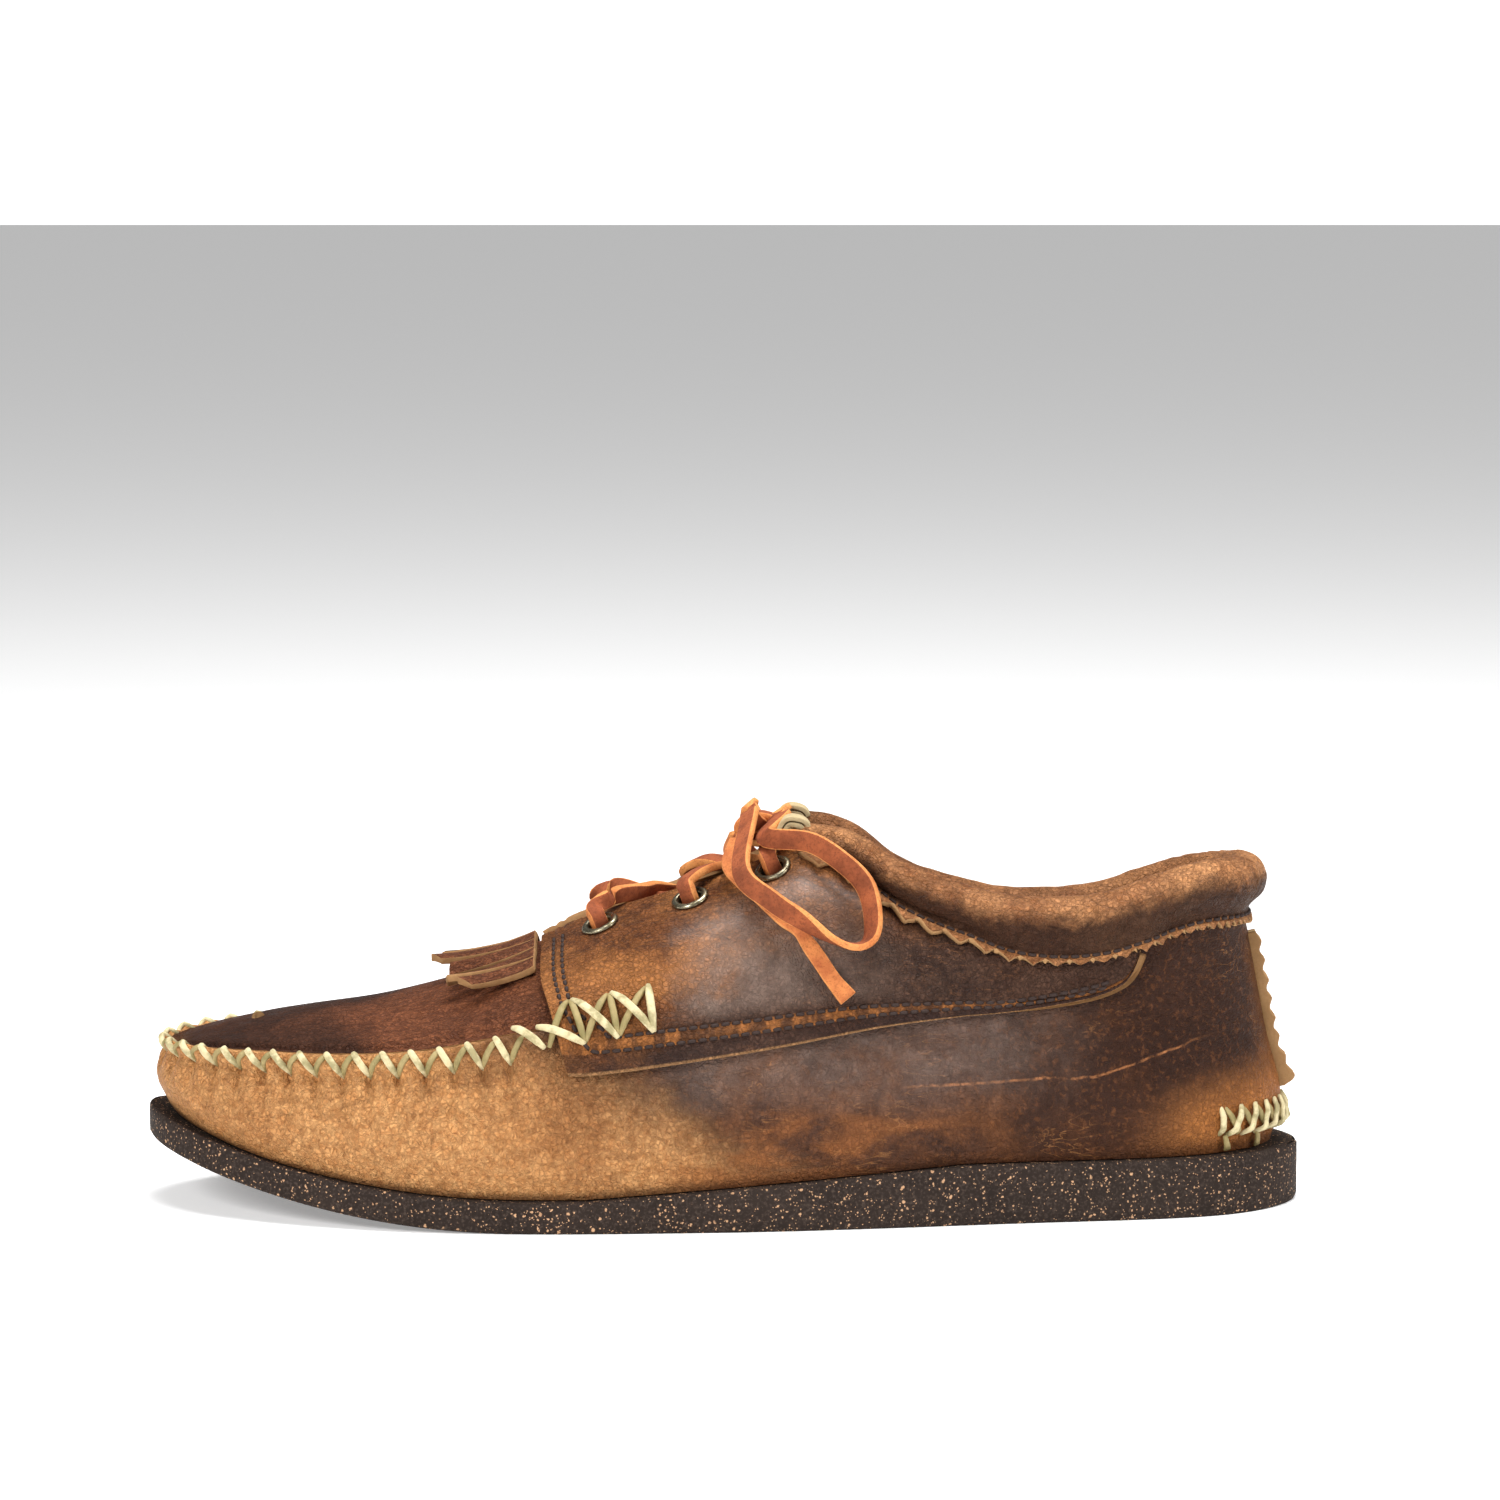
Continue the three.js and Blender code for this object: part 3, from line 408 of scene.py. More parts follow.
RISES = [
    through((-1, 0.3), (1, 0.3)),
    through((-1, 8), (-0.8, 9), (-0.5, 13), (0, 14), (0.5, 13), (1, 13)),
    through((-1, 16), (-0.933, 20.1), (-0.8, 26.5), (-0.667, 31.1), (-0.5, 36.4), (-0.333, 42.6),
            (-0.233, 43.6), (0, 42.6), (0.2, 39), (0.3, 36), (0.45, 31), (0.55, 28), (1, 29)),
    through((-1, 18.4), (-0.933, 22.2), (-0.8, 28.9), (-0.667, 34.6), (-0.5, 41.6), (-0.333, 50.6),
            (-0.233, 57), (0, 63.5), (0.133, 68), (0.2, 65), (0.3, 56.5), (0.45, 47), (0.55, 43),
            (0.7, 43), (0.85, 46), (1, 45.5)),
    through((-1, 20.2), (-0.933, 23.5), (-0.8, 30.4), (-0.667, 37.2), (-0.5, 45.6), (-0.333, 57),
            (-0.233, 64.5), (0, 73.5), (0.1, 79), (0.133, 81), (0.2, 77), (0.3, 65.5), (0.45, 56.8),
            (0.55, 55.2), (0.65, 56.5), (0.74, 60.5), (0.85, 63.6), (1, 63)),
]
INNER_RIM_DROP = 5.0
FAN_START = (-0.667, 0.613)
FAN_REACH = 22.0


def inner_drop(angle):
    """The rim is a little lower on the inner side of the foot than on the outer side."""
    return INNER_RIM_DROP * ease(math.cos(angle), 0.13, 0.36) * ease(-math.sin(angle), 0.05, 0.75)


@lru_cache(maxsize=None)
def girth(angle):
    """One girth of the foot form: its outer and middle points in plan, insets and rises."""
    edge = sole_edge(angle)
    toe, heel = (s * HALF_LENGTH for s in FAN_START)
    x = edge[0]
    if x < toe:
        x = toe - FAN_REACH * math.tanh((toe - x) / FAN_REACH)
    elif x > heel:
        x = heel + FAN_REACH * math.tanh((x - heel) / FAN_REACH)
    across = math.acos(x / HALF_LENGTH)
    middle = np.array([x, (sole_edge(across)[1] + sole_edge(-across)[1]) / 2 + INSTEP_SHIFT(x / HALF_LENGTH)])
    half = float(np.linalg.norm(edge - middle))
    s = math.cos(angle)
    mouth = MOUTH_HALF(s)
    insets = [f(s) for f in INSETS] + [half - mouth]
    rises = [f(s) for f in RISES]
    rises[4] -= inner_drop(angle)
    rises[3] -= 0.35 * inner_drop(angle)
    return edge, middle, half, insets, rises, min(1.0, mouth / 6), sole_top(edge[0])


def form(angle, t):
    """A point of the foot form, t from 0 at the feather edge to 1 at the rim."""
    edge, middle, half, insets, rises, flat, base = girth(angle)
    i = min(3, int(t * 4))

    def run(v, j):
        return (v[min(j + 1, 4)] - v[max(j - 1, 0)]) / (2 if j % 4 else 1)
    u = t * 4 - i
    inset = hermite(insets[i], insets[i + 1], run(insets, i), run(insets, i + 1), u)
    end = run(rises, i + 1) * (flat if i == 3 else 1)
    rise = hermite(rises[i], rises[i + 1], run(rises, i), end, u)
    plan = edge + (middle - edge) * (inset / half)
    return np.array([plan[0], plan[1], base + rise])


def form_normal(angle, t):
    e = 1e-3
    along = form(angle + e, t) - form(angle - e, t)
    up = form(angle, min(1.0, t + e)) - form(angle, max(0.0, t - e))
    out = np.cross(up, along)
    return out / np.linalg.norm(out)


def layer(angle, t, lift):
    return form(angle, t) + form_normal(angle, t) * lift


def angle_at(s):
    return math.acos(min(1.0, max(-1.0, s)))


@lru_cache(maxsize=None)
def t_at_rise(angle, rise):
    low, high = 0.0, 1.0
    base = girth(angle)[6]
    for _ in range(22):
        t = (low + high) / 2
        if form(angle, t)[2] - base < rise:
            low = t
        else:
            high = t
    return low


def rim_rise(angle):
    return RISES[4](math.cos(angle)) - inner_drop(angle)


def even_angles(start, end, count, t):
    """Angles spaced evenly along the form at a height t."""
    samples = np.linspace(start, end, 721)
    points = np.array([form(a, t) for a in samples])
    run = np.concatenate([[0], np.cumsum(np.linalg.norm(np.diff(points, axis=0), axis=1))])
    return np.interp(np.linspace(0, run[-1], count + 1), run, samples), run[-1]


def leather_sheet(name, grids, thickness, closed=False, body="shoe", shares=None, cut=0.3):
    """A piece of leather from grids of points of its grain side, columns by rows. Faces are
    grain (0), flesh (1) and cut edge (2); each point keeps its share across, from 0 to 1."""
    vertices, faces, kinds, across = [], [], [], []
    for grid in grids:
        grid = np.array(grid)
        columns, rows = grid.shape[:2]
        if closed:
            along = np.roll(grid, -1, axis=0) - np.roll(grid, 1, axis=0)
        else:
            along = np.gradient(grid, axis=0)
        normal = np.cross(np.gradient(grid, axis=1), along)
        normal /= np.maximum(np.linalg.norm(normal, axis=2, keepdims=True), 1e-9)
        first = len(vertices)
        under = first + columns * rows
        vertices += [*grid.reshape(-1, 3), *(grid - normal * thickness).reshape(-1, 3)]
        across += [*np.tile(np.linspace(0, 1, rows) if shares is None else shares, 2 * columns)]
        for c in range(columns if closed else columns - 1):
            n = (c + 1) % columns
            for r in range(rows - 1):
                a, b = first + c * rows + r, first + c * rows + r + 1
                d, e = first + n * rows + r, first + n * rows + r + 1
                below = under - first
                faces += [(a, b, e, d), (a + below, d + below, e + below, b + below)]
                kinds += [0, 1]
            for r, turned in ((0, 1), (rows - 1, -1)):
                here, next_one = c * rows + r, n * rows + r
                side = [first + here, first + next_one, under + next_one, under + here]
                faces.append(tuple(side[::turned]))
                kinds.append(2)
        for c, turned in () if closed else ((0, -1), (columns - 1, 1)):
            for r in range(rows - 1):
                here = c * rows + r
                side = [first + here, first + here + 1, under + here + 1, under + here]
                faces.append(tuple(side[::turned]))
                kinds.append(2)
    piece = add_piece(name, vertices, faces, body)
    mesh = piece.data
    mesh.attributes.new("across", "FLOAT", "POINT").data.foreach_set("value", np.array(across, dtype=float))
    mesh.polygons.foreach_set("material_index", kinds)
    if cut:
        bevel = piece.modifiers.new("cut_edge", "BEVEL")
        bevel.width, bevel.segments, bevel.limit_method = cut * MM, 2, "ANGLE"
        bevel.angle_limit = math.radians(55)
    return piece


def grain(finish, depth=0.16, pebble=720.0, crease=0.6):
    """The bump of full-grain leather: fine pebbles, soft creases and pores."""
    bent = finish.bent(420.0, 0.0012)
    pebbles = finish.cells(pebble, feature="DISTANCE_TO_EDGE", place=bent).step(0.0, 0.2)
    small = finish.cells(pebble * 2.1, feature="DISTANCE_TO_EDGE", place=bent).step(0.0, 0.25)
    creases = abs(finish.noise(280, 5, 0.65, twist=1.0) - 0.5).step(0.0, 0.06)
    folds = abs(finish.noise(95, 5, 0.6, twist=0.6) - 0.5).step(0.0, 0.05)
    height = pebbles * 0.6 + small * 0.2 + creases * 0.45 + folds * crease + finish.noise(38) * 1.2
    finish.bump(height, depth, 1.0)
    return pebbles * (0.45 + 0.55 * creases)


def flesh_finish():
    finish = Finish("leather_flesh_side", roughness=0.9, specular_ior_level=0.25)
    nap = finish.noise(1500, 6, 0.7)
    finish.feed(base_color=finish.blend(nap * finish.noise(90), colour(132, 98, 62), colour(190, 150, 104)))
    finish.bump(nap, 0.3, 0.8)
    return finish


def cut_edge_finish():
    finish = Finish("leather_cut_edge", roughness=0.85, specular_ior_level=0.25)
    fibres = finish.noise(2400, 4, 0.7)
    finish.feed(base_color=finish.blend(finish.noise(420), colour(128, 88, 54), colour(186, 146, 98)))
    finish.bump(fibres, 0.2, 0.8)
    return finish


flesh_side, cut_edge = flesh_finish(), cut_edge_finish()
SEAM_T = 0.5
SEAM_HALF_GAP = 0.018
RIM_CLEARANCE = 0.8
BODY_EDGE = through((-0.3, SEAM_T - SEAM_HALF_GAP), (-0.2, 0.55), (0, 0.64), (0.12, 0.72),
                    (0.2, 0.84), (0.28, 1))
BODY_TOP = 0.4965
BODY_THICKNESS = 1.8
STITCH_PITCH = 7.4
SEAM_END = angle_at(-0.335)
_, seam_length = even_angles(SEAM_END, 2 * math.pi - SEAM_END, 2, SEAM_T)
STITCHES = round(seam_length / STITCH_PITCH)
hole_angles, _ = even_angles(SEAM_END, 2 * math.pi - SEAM_END, 2 * STITCHES, SEAM_T)


def stitch_phase(angle):
    """How many stitches along the apron seam an angle is."""
    return float(np.interp(angle % (2 * math.pi), hole_angles, np.arange(2 * STITCHES + 1) / 2))


def seam_front(s):
    """1 along the hand-sewn part of the seam, falling to 0 under the quarters."""
    return ease(s, -0.302, -0.34)


def seam_closed(s):
    """1 where the body's edge meets the apron's, until well under the quarters."""
    return ease(s, -0.235, -0.27)


def ripple(*waves):
    """A sum of sines: (waves a radian, phase, size) each."""
    return lambda a: sum(size * math.sin(rate * a + phase) for rate, phase, size in waves)


uneven = ripple((31, 0.4, 0.5), (47, 2.1, 0.35), (73, 1.3, 0.3), (17, 0.9, 0.4))


def body_lift(angle, t):
    front = seam_front(math.cos(angle))
    phase = stitch_phase(angle)
    ridge = ease(t, 0.424, 0.452) * (1 - 0.6 * ease(t, 0.484, 0.497))
    swell = 0.75 + 0.25 * math.cos(2 * math.pi * phase)
    pull = math.cos(2 * math.pi * (phase + 0.06 * uneven(angle)))
    valley = math.exp(-((phase % 1 - 0.5) / 0.13) ** 2)
    dimple = valley * math.exp(-((t - 0.419) / 0.018) ** 2)
    toe = 0.55 + 0.45 * ease(-math.cos(angle), 0.35, 0.8)
    gathered = ease(t, 0.24, 0.42) * (1 - ease(t, 0.44, 0.47))
    pucker = toe * (0.5 * pull - 1.0 * valley) * gathered - 1.2 * dimple
    soft = 0.35 * uneven(angle * 0.9 + t) * ease(t, 0.05, 0.3)
    waist = 0.5 * math.sin(3.2 * angle + 6 * t) * ease(t, 0.05, 0.25) * ease(0.45, t, 0.7)
    heel = ease(math.cos(angle), 0.84, 0.93)
    seam = heel * 1.1 * math.exp(-((t - 0.13) / 0.03) ** 2)
    low = heel * (0.5 * math.cos(angle * 42) * (ease(t, 0.02, 0.07) - ease(t, 0.1, 0.16)))
    sewn = front * (2.3 * ridge * swell + pucker + 0.35 * soft)
    return sewn + (0.1 * soft + 0.09 * waist) * (1 - front) * (1 - heel) + seam + low


def body_leather():
    """Tan at the toe where the oil has been pulled off, dark brown behind, warm at the heel, with a painted
    grey sheen over the waist.
    """
    finish = Finish("pull_up_leather_body", specular_ior_level=0.13, coat_roughness=0.3)
    cloud = finish.noise(22, 5, 0.6, twist=0.5) - 0.5
    patch = finish.noise(70, 5, 0.65, twist=1.0) - 0.5
    fine = finish.noise(520, 5, 0.65).step(0.3, 0.7)
    tan = finish.blend(fine, colour(190, 130, 76), colour(220, 164, 106))
    tan = finish.blend(finish.noise(16).step(0.45, 0.7) * 0.5, tan, colour(160, 98, 48))
    brown = finish.blend(finish.noise(30, 4, 0.6).step(0.35, 0.7), colour(38, 21, 14), colour(76, 48, 35))
    brown = finish.blend(fine * 0.35, brown, colour(98, 70, 56))
    along = finish.x + cloud * 44.0 + patch * 26.0 + (finish.z - 30.0) * 1.9
    ground = finish.blend(along.step(-48.0, 8.0), tan, brown)
    blotch = (cloud + patch * 0.6).step(0.0, 0.22) * along.step(-95.0, -45.0)
    ground = finish.blend(blotch * 0.5, ground, colour(128, 78, 42))
    smear_place = finish.stretched(0.3, 1.0, 1.2)
    smears = finish.noise(60, 5, 0.65, place=smear_place, twist=0.8).step(0.46, 0.62)
    waist = finish.x.step(-30.0, -5.0) * finish.x.step(84.0, 30.0)
    waist = waist * (finish.z + patch * 10.0).step(42.0, 22.0)
    ground = finish.blend(smears * waist * 0.6, ground, colour(158, 96, 50))
    rear = finish.x.step(60.0, 100.0)
    ground = finish.blend(rear * 0.65, ground, colour(44, 22, 12))
    glow_height = finish.z + patch * 12.0 - (finish.x - 126.0) * 0.3
    heel_glow = (finish.x + cloud * 14.0).step(104.0, 128.0) * glow_height.step(40.0, 24.0)
    ground = finish.blend(heel_glow * 0.85, ground, colour(178, 112, 56))
    back_edge = (finish.x + patch * 6.0 + (finish.z - 60.0) * 0.14).step(134.0, 140.0)
    back_edge = back_edge * finish.z.step(84.0, 60.0)
    ground = finish.blend(back_edge * 0.4, ground, colour(150, 92, 48))
    foot = finish.attribute("across").step(0.11, 0.05)
    ground = finish.blend(foot * 0.65, ground, colour(74, 42, 22))
    scuff_line = (finish.x - 50.0) * 0.02 + (finish.x - 96.0).at_least(0.0) * 0.3
    scuff_height = finish.z - 36.0 - scuff_line + patch * 2.5
    scuff = abs(scuff_height).step(0.5, 0.1) * finish.x.step(44.0, 52.0) * finish.x.step(128.0, 112.0)
    ground = finish.blend(scuff * finish.noise(300).step(0.36, 0.58) * 0.85, ground, colour(178, 116, 72))
    scratch_place = finish.stretched(0.35, 1, 1.4)
    scratches = finish.lines(0.012, 0.002, 130, 3, 0.5, place=scratch_place, twist=1.4)
    ground = finish.blend(scratches * finish.noise(34).step(0.5, 0.62) * 0.45, ground, colour(188, 128, 76))
    speckle = finish.noise(700, 3, 0.6, twist=0.4).step(0.52, 0.66)
    ground = finish.blend(speckle * 0.4, ground, colour(122, 74, 40))
    pebbles = grain(finish, 0.45)
    ground = finish.blend((1 - pebbles) * 0.24, ground, colour(70, 40, 22))
    # Painted sheen: a patchy grey-brown highlight over the waist's bulge, where the lamps would shine; the
    # coat follows it.
    painted_sheen = (finish.x + cloud * 20.0).step(-30.0, 0.0) * finish.x.step(104.0, 62.0)
    painted_sheen = painted_sheen * (finish.z + patch * 12.0).step(26.0, 42.0)
    sheen_patchiness = 0.2 + 0.35 * finish.noise(140, 5, 0.7).step(0.35, 0.65)
    ground = finish.blend(painted_sheen * sheen_patchiness, ground, colour(124, 104, 94))
    finish.feed(base_color=ground, roughness=0.4 + 0.22 * fine + 0.1 * finish.noise(30),
                coat_weight=0.03 + 0.3 * painted_sheen)
    return finish


def moccasin_body():
    front, _ = even_angles(SEAM_END, 2 * math.pi - SEAM_END, 460, 0.45)
    back, _ = even_angles(2 * math.pi - SEAM_END, 2 * math.pi + SEAM_END, 260, 0.3)
    angles = [*front[:-1], *back[:-1]]
    shares = [*np.linspace(0, 0.78, 26), *np.linspace(0.79, 0.935, 12)[1:], *np.linspace(0.94, 1, 12)]
    under = (0.82, 0.93)
    grid = []
    for angle in angles:
        middle = girth(angle)[1]
        feather = form(angle, 0.0)
        column = []
        for share in under:
            plan = mix(middle, feather[:2], share)
            column.append((plan[0], plan[1], sole_top(plan[0]) + 0.3))
        top = min(BODY_EDGE(math.cos(angle)), t_at_rise(angle, rim_rise(angle) - RIM_CLEARANCE))
        top = mix(top, BODY_TOP, seam_closed(math.cos(angle)))
        for share in shares:
            t = share * top
            column.append(layer(angle, t, body_lift(angle, t)))
        grid.append(column)
    return leather_sheet("body_leather", [grid], BODY_THICKNESS, closed=True)


body = moccasin_body()
wear(body, body_leather(), flesh_side, cut_edge)
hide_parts("moccasin_body")


# ---------------------------------------------------------------- footbed and heel counter
# The foot stands on a board covered with plain leather, over the body's floor. A stiff board
# counter, out of sight between body and lining, cups the heel.
LEATHER = 2.0
GAP = 0.3


def plain_leather(name, light, dark, rough=0.6):
    finish = Finish(name, specular_ior_level=0.35)
    worn = finish.noise(45, 5, 0.6)
    finish.feed(base_color=finish.blend(worn, light, dark), roughness=rough + 0.2 * finish.noise(200))
    grain(finish, 0.1, 1000.0, 0.3)
    return finish


def footbed():
    inset, top = 3 * GAP + LEATHER, 3 * GAP + LEATHER + 3.0
    grid = []
    for angle in np.linspace(0, 2 * math.pi, 241)[:-1]:
        feather, middle = form(angle, 0.0)[:2], girth(angle)[1]
        edge = feather + (middle - feather) / np.linalg.norm(middle - feather) * inset
        column = []
        for out in (*np.linspace(1, 0.86, 8), 0.6, 0.3, 0.0):
            plan = mix(middle, edge, out)
            dished = 0.9 * (1 - out ** 4) * ease(plan[0], 20, 110)
            column.append((plan[0], plan[1], sole_top(plan[0]) + top - dished))
        grid.append(column)
    return leather_sheet("footbed_cover", [grid], 2.4, closed=True, cut=0.5)


lining_finish = plain_leather("lining_leather", colour(176, 128, 82), colour(142, 98, 60))
board_finish = plain_leather("counter_board", colour(150, 124, 86), colour(120, 96, 62), 0.75)
bed = footbed()
wear(bed, lining_finish, flesh_side, cut_edge)
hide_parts("footbed")
wear(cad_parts["heel_counter"], board_finish)


# ---------------------------------------------------------------- quarter lining
# Thin tan leather from the lacing round the heel, pasted inside the body and the counter.
LINING_FRONT = 0.28


def quarter_lining():
    reach = angle_at(LINING_FRONT)
    grid = []
    for angle in np.linspace(-reach, reach, 161):
        column = []
        for v in np.linspace(0, 1, 15):
            rise = mix(8, rim_rise(angle) - 3 * RIM_CLEARANCE, v)
            over = ease(math.cos(angle), 0.38, 0.48) * (1 - ease(rise, 40, 49)) * 2.3
            column.append(layer(angle, t_at_rise(angle, rise), -LEATHER - 3.8 * GAP - over))
        grid.append(column)
    return leather_sheet("lining_sheet", [grid], 1.0)


lining = quarter_lining()
wear(lining, lining_finish, lining_finish, cut_edge)
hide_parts("quarter_lining")


# ---------------------------------------------------------------- apron
# The plug of dark pull-up leather over the toes. Its edge is turned up against the body's ridge,
# which leaves a groove all round inside the seam.
T_LENGTH = 96.0
THROAT_ARCH = 0.1


def side_angle(side, s):
    """side 1 is the outer side of the foot, -1 the inner one."""
    return angle_at(s) if side > 0 else 2 * math.pi - angle_at(s)


SIDES = ((1, "lateral"), (-1, "medial"))


def across_point(s, v, reach, lift):
    """A point across the top of the foot: v from -1 on the outer side to 1 on the inner side."""
    mouth = MOUTH_HALF(s)
    open_share = mouth / (mouth + reach * T_LENGTH)
    w = abs(v)
    if w >= open_share:
        return layer(side_angle(-v, s), 1 - (w - open_share) / (1 - open_share) * reach, lift)
    a, b = layer(side_angle(1, s), 1.0, lift), layer(side_angle(-1, s), 1.0, lift)
    share = (v / open_share + 1) / 2
    middle = mix(a, b, share)
    middle[2] += THROAT_ARCH * np.linalg.norm(b - a) * 4 * share * (1 - share)
    return middle


def top_leather(name, red_tan, toe_blend):
    """Dark brown pull-up leather with reddish scuffs, paler where it is bent or rubbed."""
    finish = Finish(name, specular_ior_level=0.1, coat_roughness=0.3)
    cloud = finish.noise(26, 5, 0.6, twist=0.6)
    fine = finish.noise(330, 6, 0.7).step(0.3, 0.7)
    ground = finish.blend(cloud.step(0.3, 0.7), colour(34, 18, 12), colour(72, 42, 28))
    ground = finish.blend(fine * 0.3, ground, colour(96, 60, 42))
    streak_place = finish.stretched(0.45, 1.0, 1.0)
    streaks = finish.lines(0.05, 0.0, 210, 5, 0.65, place=streak_place, twist=1.8)
    rubbed = (finish.noise(19, 3, 0.5) - abs(finish.x + 62.0) * 0.006 + 0.14).step(0.42, 0.62)
    ground = finish.blend(rubbed * 0.5, ground, red_tan)
    ground = finish.blend(streaks * (0.05 + 0.5 * rubbed), ground, colour(158, 96, 62))
    hairs = finish.lines(0.02, 0.0, 420, 2, 0.5, place=finish.stretched(0.3, 1, 1), twist=2.0)
    hairs = hairs * finish.noise(40).step(0.48, 0.6)
    ground = finish.blend(hairs * (0.12 + 0.4 * rubbed), ground, colour(150, 96, 62))
    if toe_blend:
        tip = (finish.x + cloud * 20.0).step(-128.0, -143.0)
        ground = finish.blend(tip, ground, colour(160, 106, 60))
    pebbles = grain(finish, 0.42)
    ground = finish.blend((1 - pebbles) * 0.3, ground, colour(28, 15, 10))
    finish.feed(base_color=ground, roughness=0.36 + 0.22 * fine + 0.12 * finish.noise(28))
    return finish


APRON_BACK = -0.235
APRON_TOP = 0.4985
APRON_THICKNESS = 1.7


def apron_lift(w, s):
    """w is how near the seam a point is, from 0 in the middle to 1 at the edge."""
    turned_up = 0.55 * ease(w, 0.955, 1.0)
    groove = -0.7 * math.exp(-((w - 0.94) / 0.035) ** 2)
    plump = 1.6 * (1 - ease(w, 0.3, 0.95))
    return seam_front(s) * (turned_up + groove + plump)


def apron():
    half = [*np.linspace(0, 0.84, 24), *np.linspace(0.85, 1, 16)]
    vs = [*(-v for v in half[:0:-1]), *half]
    end = angle_at(APRON_BACK)
    grid = []
    for angle in np.linspace(end, math.pi, 150):
        s = math.cos(angle)
        reach = mix(1 - BODY_EDGE(s) - 2 * SEAM_HALF_GAP, APRON_TOP, seam_closed(s))
        crumple = 0.18 * math.sin(9.1 * angle * 3) * ease(s, -0.9, -0.5)
        lifts = [apron_lift(abs(v), s) + crumple * (1 - abs(v)) for v in vs]
        grid.append([across_point(s, v, reach, lift) for v, lift in zip(vs, lifts)])
    piece = leather_sheet("apron_plug", [grid], APRON_THICKNESS, shares=np.abs(vs))
    # At the toe the two sides fold together, so only the faces by the seam are cut edge.
    for face in piece.data.polygons:
        if min(abs(vs[i % len(vs)]) for i in face.vertices) < 1 and face.material_index == 2:
            face.material_index = 0
    return piece


apron_finish = top_leather("pull_up_leather_apron", colour(132, 76, 48), True)
plug = apron()
wear(plug, apron_finish, flesh_side, cut_edge)
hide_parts("apron")


# ---------------------------------------------------------------- tongue
# A tongue of the same leather, sewn under the back of the apron, lies under the lace.
LACE_THICKNESS = 3.0
TONGUE_DEPTH = LACE_THICKNESS + 1.8
TONGUE_BACK, TONGUE_FRONT = 0.19, -0.33
TONGUE_REACH = 0.2


def tongue():
    grid = []
    for u in np.linspace(0, 1, 60):
        column = []
        for v in np.linspace(-1, 1, 37):
            s = mix(TONGUE_BACK - 0.03 * v * v, TONGUE_FRONT, u)
            wave = 0.15 * math.sin(16 * u) * (1 - v * v)
            column.append(across_point(s, v, TONGUE_REACH, -TONGUE_DEPTH + wave))
        grid.append(column)
    return leather_sheet("tongue_leather", [grid], APRON_THICKNESS)


tongue_finish = top_leather("pull_up_leather_tongue", colour(124, 74, 46), False)
tongue_piece = tongue()
wear(tongue_piece, tongue_finish, flesh_side, cut_edge)
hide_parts("tongue")


# ---------------------------------------------------------------- kiltie
# A short flap cut into a fringe, sewn in at the front of the quarters and lying on the apron.
# Its strips curl up a little, each in its own way, and show pale cut edges.
QUARTER_FRONT = -0.305
KILTIE_STRIPS = 8
KILTIE_REACH = 0.2
KILTIE_FAN = 0.07
KILTIE_LENGTH = 0.15
KILTIE_CURL = 4.2
KILTIE_ROOT = 3.4 + GAP


def kiltie():
    grids = []
    for strip in range(KILTIE_STRIPS):
        own = math.sin(strip * 2.4 + 0.7)
        tilt = 1.5 * math.sin(strip * 4.1 + 0.6)
        grid = []
        for k in np.linspace(0, 1, 26):
            column = []
            for side in np.linspace(-1, 1, 9):
                slim = 1 - 0.05 - 0.4 * k ** 0.8
                v = 2 * (strip + 0.5 + 0.5 * side * slim + 0.10 * own * k * k) / KILTIE_STRIPS - 1
                tip = KILTIE_LENGTH * (1 - 0.34 * v * v) + 0.016 * (strip % 2) + 0.008 * own * side
                lift = KILTIE_ROOT + (KILTIE_CURL + 0.9 * own - 1.2 * abs(v)) * k ** 1.4
                lift += tilt * side * k + 0.35 * (1 - side * side) * k
                s = QUARTER_FRONT - 0.009 - k * tip
                column.append(across_point(s, v, KILTIE_REACH + KILTIE_FAN * k, lift))
            grid.append(column)
        grids.append(grid)
    return leather_sheet("kiltie_fringe", grids, 2.0, body="kiltie", cut=0.25)


kiltie_finish = top_leather("pull_up_leather_kiltie", colour(118, 68, 44), False)
fringe = kiltie()
wear(fringe, kiltie_finish, flesh_side, cut_edge)
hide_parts("kiltie")


# ---------------------------------------------------------------- quarters
# Two saddle-shaped quarters sewn over the body from the kiltie back under the collar, with a
# shaped front edge, a raw lower edge and three eyelets each.
QUARTER_BACK = 0.712
QUARTER_LOW = through((-0.31, 32), (-0.21, 32), (-0.08, 33), (0.1, 35), (0.27, 37.3), (0.48, 38.5),
                      (0.62, 41.5), (0.68, 45), (0.7, 48.5), (0.712, 53))
QUARTER_OUT = LEATHER + 2.4 * GAP
EYELET_STATIONS = (-0.204, -0.05, 0.093)
EYELET_DROP = 0.092
EYELET_T = 1 - EYELET_DROP
BORE = LACE_THICKNESS
STITCH_INSETS = (3.2, 5.4)
QUARTER_LENGTH, QUARTER_HEIGHT = 150, 46


def quarter_point(side, u, v, lift):
    s = mix(QUARTER_FRONT + 0.045 * (1 - v) ** 4, QUARTER_BACK, u)
    angle = side_angle(side, s)
    low = t_at_rise(angle, QUARTER_LOW(s))
    roll = ease(s, 0.1, 0.16)
    high = mix(1.0, t_at_rise(angle, rim_rise(angle) - RIM_CLEARANCE), roll)
    return layer(angle, mix(low, high, v), lift)


def quarter_lift(side, u, v):
    """Small waves of the worn leather, and the dip along the two rows of stitches."""
    wave = 0.22 * math.sin(21 * u + 5 * v + side) + 0.16 * math.sin(37 * u - 9 * v)
    inside = ease(u, 0.02, 0.12) * ease(v, 0.1, 0.3) * ease(1 - v, 0.0, 0.1)
    dip = sum(math.exp(-((v * QUARTER_HEIGHT - inset) / 0.6) ** 2) * ease(u, 0.02, 0.04)
              + math.exp(-((u * QUARTER_LENGTH - inset) / 0.6) ** 2) * ease(v, 0.1, 0.2)
              for inset in STITCH_INSETS)
    return 0.5 * wave * inside - 0.4 * min(1.0, dip)


